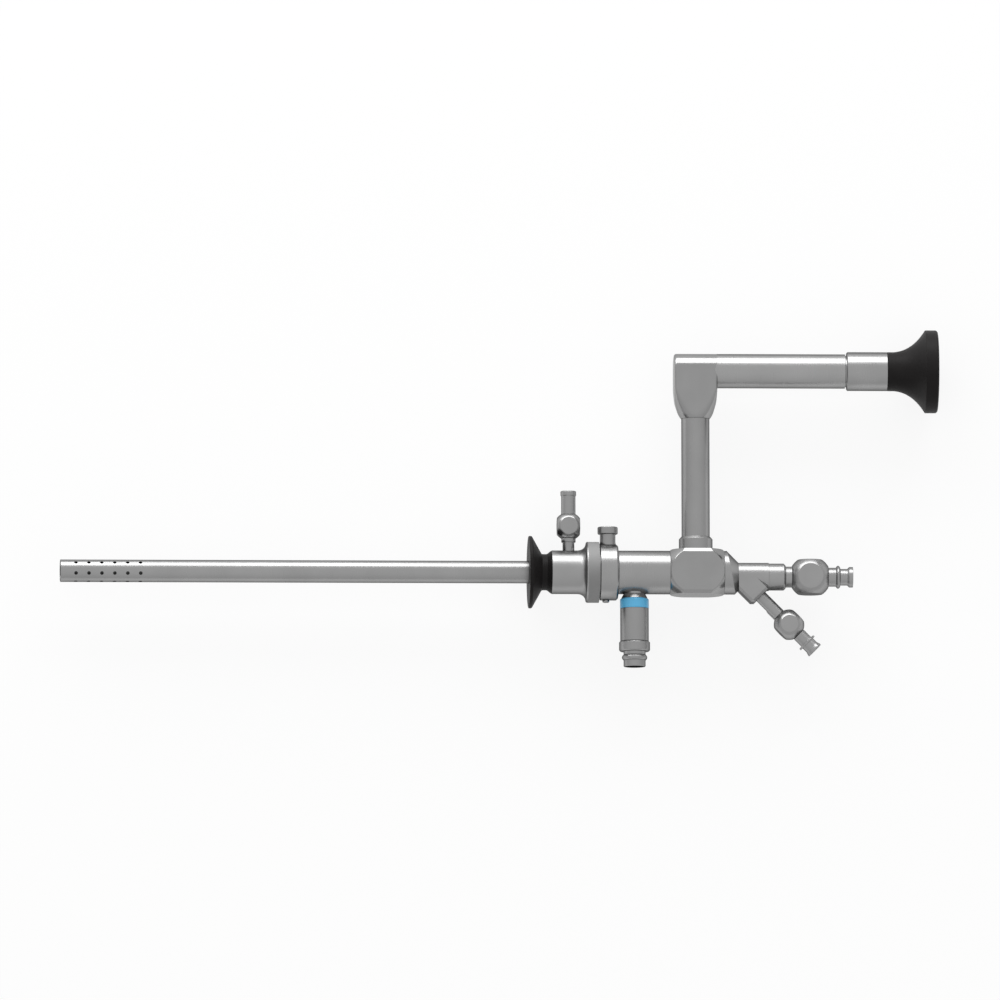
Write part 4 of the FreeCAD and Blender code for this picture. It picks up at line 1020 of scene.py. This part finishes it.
@dataclass
class LightPost:
    """Light post under the main tube: base, blue ring, sleeve, adaptor and spring ring."""

    bench: Bench
    base_radius: float = 4.2
    base_flare: float = 5.1
    base_start: float = 8.4
    base_sunk: float = 0.9
    core: float = 3.5
    bore: float = 1.65
    ring_radius: float = 5.6
    ring_chamfer: float = 0.5
    sleeve_radius: float = 5.5
    adaptor_radius: float = 5.98
    adaptor_length: float = 4.0
    adaptor_chamfer: float = 0.5
    tip: float = 4.25
    tip_chamfer: float = 0.2
    groove_start: float = 5.3
    groove_width: float = 2.1
    groove_depth: float = 0.7
    snap_radius: float = 4.9
    snap_side: float = 0.6
    snap_gap: float = 0.02
    window: float = 3.75
    window_depth: float = 2.0
    window_thickness: float = 1.2
    # Sizes of the sheet of painted shade in the adaptor's bore.
    shade_sheet_wall: float = 0.2
    shade_sheet_gap: float = 0.01
    shade_sheet_short: float = 0.1

    def build(self) -> None:
        """Builds the post's pieces from the tube down."""
        self.base()
        self.sleeves()
        self.adaptor()
        self.painted_shade_sheet()
        self.snap_ring()
        self.bench.paint("light_window", FIBRE_FACE)
        self.bench.paint("fibre_bundle", FIBRE_FACE)

    def down(self, node: str) -> Point:
        """Stations down from the shaft where a node starts and ends."""
        low, high = span(node, Y)
        return -high, -low

    def post(self, outline: Outline, node: str, finish: Finish, ease: float = 0.1) -> None:
        """Turns an outline about the post's axis.

        Args:
            outline: Half section of the piece.
            node: Node that it replaces.
            finish: Its finish.
            ease: Width of its eased edges.
        """
        self.bench.put(outline.turned(standing("colour_ring", DOWN), 96, ease), node, finish)

    def base(self) -> None:
        """Flared base and its core."""
        _, end = self.down("light_post_base")
        ring, _ = self.down("colour_ring")
        start = self.base_start - self.base_sunk
        outline = Outline(
            (start, self.bore), (start, self.base_radius), (self.base_start, self.base_radius),
            (ring, self.base_flare), (ring, self.core), (end, self.core), (end, self.bore))
        self.post(outline, "light_post_base", STEEL_ARM, 0.06)

    def sleeves(self) -> None:
        """Blue colour ring and plain sleeve on the core."""
        inner = self.core + FIT
        start, end = self.down("colour_ring")
        outline = Outline(
            (start, inner), (start, self.ring_radius - self.ring_chamfer),
            (start + self.ring_chamfer, self.ring_radius), (end, self.ring_radius), (end, inner))
        self.post(outline, "colour_ring", BLUE_MARKER)
        start, end = self.down("light_post_sleeve")
        outline = Outline.stepped(start, inner, (end, self.sleeve_radius))
        self.post(outline, "light_post_sleeve", STEEL_ARM, 0.15)

    def adaptor(self) -> None:
        """Adaptor with its grooved tip and the seat of the window."""
        start, end = self.down("light_adaptor")
        shoulder = start + self.adaptor_length
        groove = start + self.groove_start
        groove_end = groove + self.groove_width
        floor = self.tip - self.groove_depth
        seat = end - self.window_depth
        radius, chamfer = self.adaptor_radius, self.adaptor_chamfer
        outline = Outline(
            (start, self.bore), (start, radius - chamfer), (start + chamfer, radius),
            (shoulder - chamfer, radius), (shoulder, radius - chamfer), (shoulder, self.tip),
            (groove, self.tip), (groove, floor), (groove_end, floor), (groove_end, self.tip),
            (end - self.tip_chamfer, self.tip), (end, self.tip - self.tip_chamfer),
            (end, self.window), (seat, self.window), (seat, self.bore))
        self.post(outline, "light_adaptor", STEEL_ARM, 0.08)

    def painted_shade_sheet(self) -> None:
        """Painted shade: a near-black sheet inside the adaptor's bore, behind its window, standing
        in for the shade there.
        """
        _, end = self.down("light_adaptor")
        start = end - self.window_depth + self.window_thickness
        outline = Outline.stepped(start, self.window - self.shade_sheet_wall,
                                  (end - self.shade_sheet_short, self.window - self.shade_sheet_gap))
        shape = outline.turned(standing("colour_ring", DOWN), 96, 0.0)
        self.bench.add(shape, "adaptor_bore_painted_shade", self.bench.body["light_adaptor"],
                       self.bench.slot["finger_disc"], PAINTED_SHADE_BORE)

    def snap_ring(self) -> None:
        """Rounded spring ring in the adaptor's groove."""
        low, high = span("adaptor_snap_ring", Y)
        middle = -(low + high) / 2
        inner = self.tip - self.groove_depth + self.snap_gap
        half = self.groove_width / 2 - self.snap_gap
        side = inner + (self.snap_radius - inner) * self.snap_side
        outline = Outline((middle - half, inner), (middle - half, side))
        outline.arc((middle, self.snap_radius), (middle + half, side))
        outline.lines((middle + half, inner))
        self.post(outline, "adaptor_snap_ring", STEEL_ARM, 0.05)


@dataclass
class OcularArm:
    """Collar and vertical tube, with the elbow above them."""

    bench: Bench
    collar_radius: float = 6.5
    collar_chamfer: float = 1.0
    collar_land: float = 0.08
    tube_radius: float = 5.44
    tube_wall: float = 1.2

    def build(self) -> None:
        """Builds the arm from the block up to the ocular tube."""
        place = standing("vertical_tube")
        start, end = span("arm_collar", Y)
        inner = self.tube_radius + FIT
        outline = Outline(
            (start, inner), (start, self.collar_radius),
            (end - self.collar_chamfer, self.collar_radius), (end, inner + self.collar_land),
            (end, inner))
        self.bench.put(outline.turned(place), "arm_collar", STEEL_ARM)
        start, end = span("vertical_tube", Y)
        bore = self.tube_radius - self.tube_wall
        outline = Outline.stepped(start, bore, (end, self.tube_radius))
        self.bench.put(outline.turned(place), "vertical_tube", STEEL_ARM)
        foot, _ = span("elbow_housing", Y)
        _, rise = centre("ocular_tube")
        Elbow(self.bench, place.x, foot, rise).build()


@dataclass
class Elbow:
    """Elbow housing over the arm, from its foot up to the ocular axis, and the ocular tube.

    Each of the housing's sections has its height, half width, half depth and corner radius.
    """

    bench: Bench
    arm_x: float
    foot: float
    rise: float
    half_width: float = 8.3
    corner: float = 1.0
    end_round: float = 1.0
    pocket: float = 4.29
    sections: tuple[tuple[float, float, float, float], ...] = (
        (0.0, 5.6, 5.6, 5.5), (1.4, 6.64, 6.64, 6.54), (6.0, 7.97, 6.62, 4.0),
        (11.0, 8.3, 6.62, 1.0), (30.0, 8.3, 6.62, 1.0))
    knee: float = 0.9
    ring_rise: float = 0.35
    ring_count: int = 40
    corner_steps: int = 16
    arch_inset: float = 0.002
    arch_beside: float = 2.0
    ocular_radius: float = 6.62
    ocular_wall: float = 1.0

    def build(self) -> None:
        """Builds the housing and the ocular tube."""
        self.housing()
        self.ocular()

    def housing(self) -> None:
        """Housing: a bar that grows from a round foot, rounded over the ocular axis."""
        housing = carved(self.bar(), self.arch(), Join.SHARE)
        bmesh.ops.remove_doubles(housing, verts=housing.verts, dist=1e-3)
        eased(housing, 0.2, 30.0)
        bmesh.ops.remove_doubles(housing, verts=housing.verts, dist=5e-3)
        ways = ((Place(self.arm_x, 0, UP), self.foot - CLEAR, self.rise),
                (Place(0, self.rise), self.arm_x, self.arm_x + self.half_width + CLEAR))
        for place, start, end in ways:
            bore = Outline.stepped(start, 0.0, (end, self.pocket))
            housing = carved(housing, bore.turned(place, 64, 0.0))
        bmesh.ops.remove_doubles(housing, verts=housing.verts, dist=2e-3)
        bmesh.ops.dissolve_degenerate(housing, dist=2e-3, edges=housing.edges)
        self.bench.put(housing, "elbow_housing", STEEL_MILLED)

    def section(self, height: float) -> Triple:
        """Section of the elbow's bar, blended over its knees.

        Args:
            height: Height above the foot.

        Returns:
            Half width along the shaft, half depth and corner radius.
        """
        spread = min(self.knee, height)
        sums = [0.0, 0.0, 0.0]
        for level in (height - spread, height, height + spread):
            for low, high in zip(self.sections, self.sections[1:]):
                if low[0] <= level <= high[0]:
                    share = (level - low[0]) / (high[0] - low[0])
                    for index in range(3):
                        sums[index] += low[index + 1] + (high[index + 1] - low[index + 1]) * share
                    break
        return sums[0] / 3, sums[1] / 3, sums[2] / 3

    def bar(self) -> Shape:
        """Upright bar of the elbow, from rings of rounded rectangles.

        Returns:
            The closed mesh.
        """
        shape = bmesh.new()
        corners = [(*side, math.radians(90.0 * (quarter + step / self.corner_steps)))
                   for quarter, side in enumerate(((1, 1), (-1, 1), (-1, -1), (1, -1)))
                   for step in range(self.corner_steps + 1)]
        top = self.rise + self.ocular_radius + CLEAR
        levels = [self.ring_rise * step for step in range(self.ring_count)] + [top - self.foot]
        rings = []
        for level in levels:
            width, depth, corner = self.section(level)
            rings.append([shape.verts.new((
                self.arm_x + x_side * (width - corner) + corner * math.cos(angle),
                self.foot + level, z_side * (depth - corner) + corner * math.sin(angle)))
                for x_side, z_side, angle in corners])
        for low, high in zip(rings, rings[1:]):
            for index, vert in enumerate(low):
                after = (index + 1) % len(low)
                shape.faces.new((vert, low[after], high[after], high[index]))
        shape.faces.new(rings[0])
        shape.faces.new(rings[-1])
        bmesh.ops.recalc_face_normals(shape, faces=shape.faces)
        return shape

    def arch(self) -> Shape:
        """Arched block that rounds the bar over the ocular axis and closes its front.

        Returns:
            The closed mesh.
        """
        shape = bmesh.new()
        rise = self.rise
        start = self.arm_x - self.half_width + self.arch_inset
        beside = self.ocular_radius + self.arch_beside
        under = self.foot - CLEAR
        side = shape.verts.new((start, rise, self.ocular_radius))
        bmesh.ops.spin(shape, geom=[side], cent=(start, rise, 0.0), axis=(-1, 0, 0), dvec=(0, 0, 0),
                       angle=math.pi, steps=64, use_merge=False, use_duplicate=False)
        rim = shape.edges[:]
        first, last = sorted((vert for vert in shape.verts if len(vert.link_edges) == 1),
                             key=lambda vert: vert.co.z)
        outer = ((rise, -beside), (under, -beside), (under, beside), (rise, beside))
        path = [first, *(shape.verts.new((start, y, z)) for y, z in outer), last]
        for vert, after in zip(path, path[1:]):
            shape.edges.new((vert, after))
        face = bmesh.ops.contextual_create(shape, geom=shape.edges[:])["faces"]
        grown = bmesh.ops.extrude_face_region(shape, geom=face)["geom"]
        moved = [item for item in grown if isinstance(item, bmesh.types.BMVert)]
        run = 2 * self.half_width + CLEAR
        bmesh.ops.translate(shape, verts=moved, vec=(run, 0.0, 0.0))
        bmesh.ops.recalc_face_normals(shape, faces=shape.faces)
        bmesh.ops.bevel(shape, geom=[edge for edge in rim if edge.is_valid],
                        offset=self.end_round, offset_type="OFFSET", affect="EDGES",
                        segments=6, profile=0.5, material=-1)
        return shape

    def ocular(self) -> None:
        """Ocular tube, whose front end follows the rounded back of the elbow."""
        _, end = span("ocular_tube", X)
        start = self.arm_x + self.half_width
        flat = self.ocular_radius - self.corner
        outline = Outline.stepped(start, self.ocular_radius - self.ocular_wall,
                                  (end, self.ocular_radius))
        tube = outline.turned(Place(0, self.rise), 128, 0.0)
        for vert in tube.verts:
            if vert.co.x < start + 0.01:
                beyond = max(0.0, abs(vert.co.z) - flat)
                vert.co.x -= self.corner - math.sqrt(self.corner ** 2 - beyond ** 2)
        self.bench.put(tube, "ocular_tube", STEEL_OCULAR)


@dataclass
class Eyepiece:
    """Ocular sleeve, black eyepiece cup and its window."""

    bench: Bench
    rise: float = 78.3
    sleeve_radius: float = 7.49
    sleeve_bore: float = 4.5
    sleeve_chamfer: float = 0.4
    spigot_radius: float = 5.52
    spigot_length: float = 4.0
    waist_radius: float = 6.02
    waist_length: float = 0.6
    neck: float = 7.53
    neck_length: float = 2.5
    flare_length: float = 12.2
    flare_middle: Point = (0.55, 0.28)
    rim: float = 16.0
    rim_length: float = 4.2
    rim_round: float = 0.6
    bore: float = 4.0
    recess_depth: float = 5.2
    recess_mouth: float = 13.5
    recess_floor: float = 8.0
    window: float = 4.85
    window_seat: float = 1.5

    def build(self) -> None:
        """Builds the sleeve and the cup, and paints the optics."""
        self.sleeve()
        self.cup()
        self.bench.paint("ocular_window", OPTICAL_GLASS)
        self.bench.paint("ocular_lens", OPTICAL_GLASS)

    def sleeve(self) -> None:
        """Sleeve with the narrow waist in front of it."""
        start, end = span("ocular_sleeve", X)
        waist = start + self.spigot_length
        body = waist + self.waist_length
        outline = Outline(
            (start, self.sleeve_bore), (start, self.spigot_radius), (waist, self.spigot_radius),
            (waist, self.waist_radius), (body, self.waist_radius),
            (body, self.sleeve_radius - self.sleeve_chamfer),
            (body + self.sleeve_chamfer, self.sleeve_radius), (end, self.sleeve_radius),
            (end, self.sleeve_bore))
        shape = outline.turned(Place(0, self.rise), 128, 0.08)
        self.bench.put(shape, "ocular_sleeve", STEEL_SHAFT)

    def cup(self) -> None:
        """Flared cup with its recess."""
        front, end = span("eyepiece_cup", X)
        start = front + self.spigot_length
        flare = start + self.neck_length
        flare_end = flare + self.flare_length
        floor = end - self.recess_depth
        seat = floor - self.window_seat
        along, out = self.flare_middle
        middle = (flare + self.flare_length * along, self.neck + (self.rim - self.neck) * out)
        outline = Outline((start, self.bore), (start, self.neck), (flare, self.neck))
        outline.arc(middle, (flare_end, self.rim), 20).lines(
            (flare_end + self.rim_length, self.rim), (end, self.rim - self.rim_round),
            (end, self.recess_mouth), (floor, self.recess_floor), (floor, self.window),
            (seat, self.window), (seat, self.bore))
        shape = outline.turned(Place(0, self.rise), 160, 0.2)
        self.bench.put(shape, "eyepiece_cup", BLACK_PLASTIC)


def paint_inside(bench: Bench) -> None:
    """Gives the inner tubes and optics, which keep their own meshes, their finishes, with painted
    shade on the inner shaft tube.

    Args:
        bench: Bench of the whole instrument.
    """
    # Painted shade: near-black steel on the inner shaft tube, seen dark through the sheath's holes.
    bench.paint("inner_shaft_tube", STEEL_INNER_SHAFT_PAINTED_SHADE)
    for node in ("working_channel_tube", "optic_tube", "lens_spacers"):
        bench.paint(node, STEEL_INNER)
    for node in ("distal_window", "rod_lenses", "relay_lenses", "block_prism", "elbow_prism"):
        bench.paint(node, OPTICAL_GLASS)


@dataclass
class Studio:
    """Pale floor, one soft lamp, plain surroundings and the photograph's viewpoint, in metres."""

    target: Triple = (-0.0109, 0.0280, 0.0)
    toward_camera: Triple = (-0.0555, -0.1115, 0.992)
    roll: float = -0.0031
    frame_width: float = 0.386
    distance: float = 1.5
    floor_size: float = 8.0
    floor_white: float = 0.95
    floor_glow: float = 0.85
    floor_glow_in_metal: float = 0.5
    world_horizon: float = 0.62
    world_zenith: float = 0.8
    lamp_place: Triple = (-0.25, 1.3, 0.418)
    lamp_target: Triple = (-0.25, 0.03, 0.0)
    lamp_size: tuple[float, float] = (2.3, 0.86)
    lamp_power: float = 20.7

    def build(self, floor_level: float) -> None:
        """Builds the camera, the floor, the world and the lamp.

        Args:
            floor_level: Height of the floor in metres.
        """
        self.camera()
        self.floor(floor_level)
        self.world()
        self.lamp()
        bpy.context.scene.view_settings.view_transform = "Standard"

    def camera(self) -> None:
        """Orthographic camera above the instrument, as the photograph's."""
        data = bpy.data.cameras.new("camera")
        data.type = "ORTHO"
        data.ortho_scale = self.frame_width
        data.clip_start = 0.05
        data.clip_end = 20.0
        camera = linked("camera", data)
        back = Vector(self.toward_camera).normalized()
        right = Vector((0.0, 1.0, 0.0)).cross(back).normalized()
        up = back.cross(right)
        turn = Matrix((right, up, back)).transposed().to_4x4()
        place = Matrix.Translation(Vector(self.target) + back * self.distance)
        camera.matrix_world = place @ turn @ Matrix.Rotation(self.roll, 4, "Z")
        bpy.context.scene.camera = camera

    def floor(self, level: float) -> None:
        """White floor under the instrument, which keeps a faint shadow.

        Args:
            level: Height of the floor in metres.
        """
        shape = bmesh.new()
        place = Matrix.Translation((0.0, 0.0, level))
        bmesh.ops.create_grid(shape, x_segments=4, y_segments=4, size=self.floor_size, matrix=place)
        material = bpy.data.materials.new("floor_white")
        nodes = Nodes(material)
        nodes.fill(nodes.shader, {"Base Color": (*grey(self.floor_white), 1.0), "Roughness": 0.9,
                                  "Specular IOR Level": 0.1})
        rays = nodes.add("LightPath", "Is Camera Ray", {}).node.outputs
        metal = nodes.computed("MAXIMUM", rays["Is Glossy Ray"], rays["Is Transmission Ray"])
        metal = nodes.computed("MULTIPLY", metal, self.floor_glow_in_metal)
        seen = nodes.computed("MULTIPLY", rays["Is Camera Ray"], self.floor_glow)
        blend = nodes.add("MixShader", "Shader", {
            "Fac": nodes.computed("MAXIMUM", seen, metal),
            1: nodes.shader.outputs["BSDF"], 2: nodes.add("Emission", "Emission", {})})
        nodes.fill(nodes.tree.nodes["Material Output"], {"Surface": blend})
        floor = solid("floor", shape)
        floor.data.materials.append(material)
        floor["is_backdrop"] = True

    def world(self) -> None:
        """Plain grey surroundings that darken from the zenith to the horizon."""
        world = bpy.data.worlds.new("studio")
        nodes = Nodes(world, "Background")
        where = nodes.add("TexCoord", "Generated", {})
        height = nodes.add("SeparateXYZ", "Z", {"Vector": where})
        level = nodes.add("MapRange", "Result", {
            "To Min": self.world_horizon, "To Max": self.world_zenith, "Value": height})
        nodes.fill(nodes.shader, {"Strength": level, "Color": (*grey(1.0), 1.0)})
        bpy.context.scene.world = world

    def lamp(self) -> None:
        """Soft rectangular lamp low beside the instrument."""
        data = bpy.data.lights.new("key", "AREA")
        data.shape = "RECTANGLE"
        data.size, data.size_y = self.lamp_size
        data.energy = self.lamp_power
        lamp = linked("key", data)
        lamp.location = self.lamp_place
        aim = Vector(self.lamp_target) - Vector(self.lamp_place)
        lamp.rotation_mode = "QUATERNION"
        lamp.rotation_quaternion = aim.to_track_quat("-Z", "Y")


def main() -> None:
    """Builds the dressed instrument and its studio on a floor under the frame's lowest point, and
    logs the count of dressed pieces.
    """
    logging.basicConfig(level=logging.INFO, format="%(name)s: %(message)s")
    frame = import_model()
    cad_low, cad_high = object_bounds()
    bench = Bench(frame)
    Sheath(bench).build()
    Valve(bench, "irrigation", STEEL_ARM, ball=5.5, length=9.32, flats=8.84, bore=1.1,
          plug=4.2, wall=1.2, turn=UP).build()
    Lock(bench).build()
    Barrel(bench).build()
    WorkingChannel(bench).build()
    Valve(bench, "channel", STEEL_CHANNEL, ball=8.2, length=14.1, flats=13.3, bore=1.6,
          plug=6.4, wall=1.6, turn=0.0).build()
    Valve(bench, "branch", STEEL_BRANCH, ball=5.9, length=10.9, flats=9.8, bore=1.2,
          plug=4.6, wall=1.3, turn=Grain.BRANCH.value).build()
    LightPost(bench).build()
    OcularArm(bench).build()
    Eyepiece(bench).build()
    paint_inside(bench)
    Studio().build(cad_low.z)
    LOG.info("%d dressed pieces", bench.count)


if __name__ == "__main__":
    main()
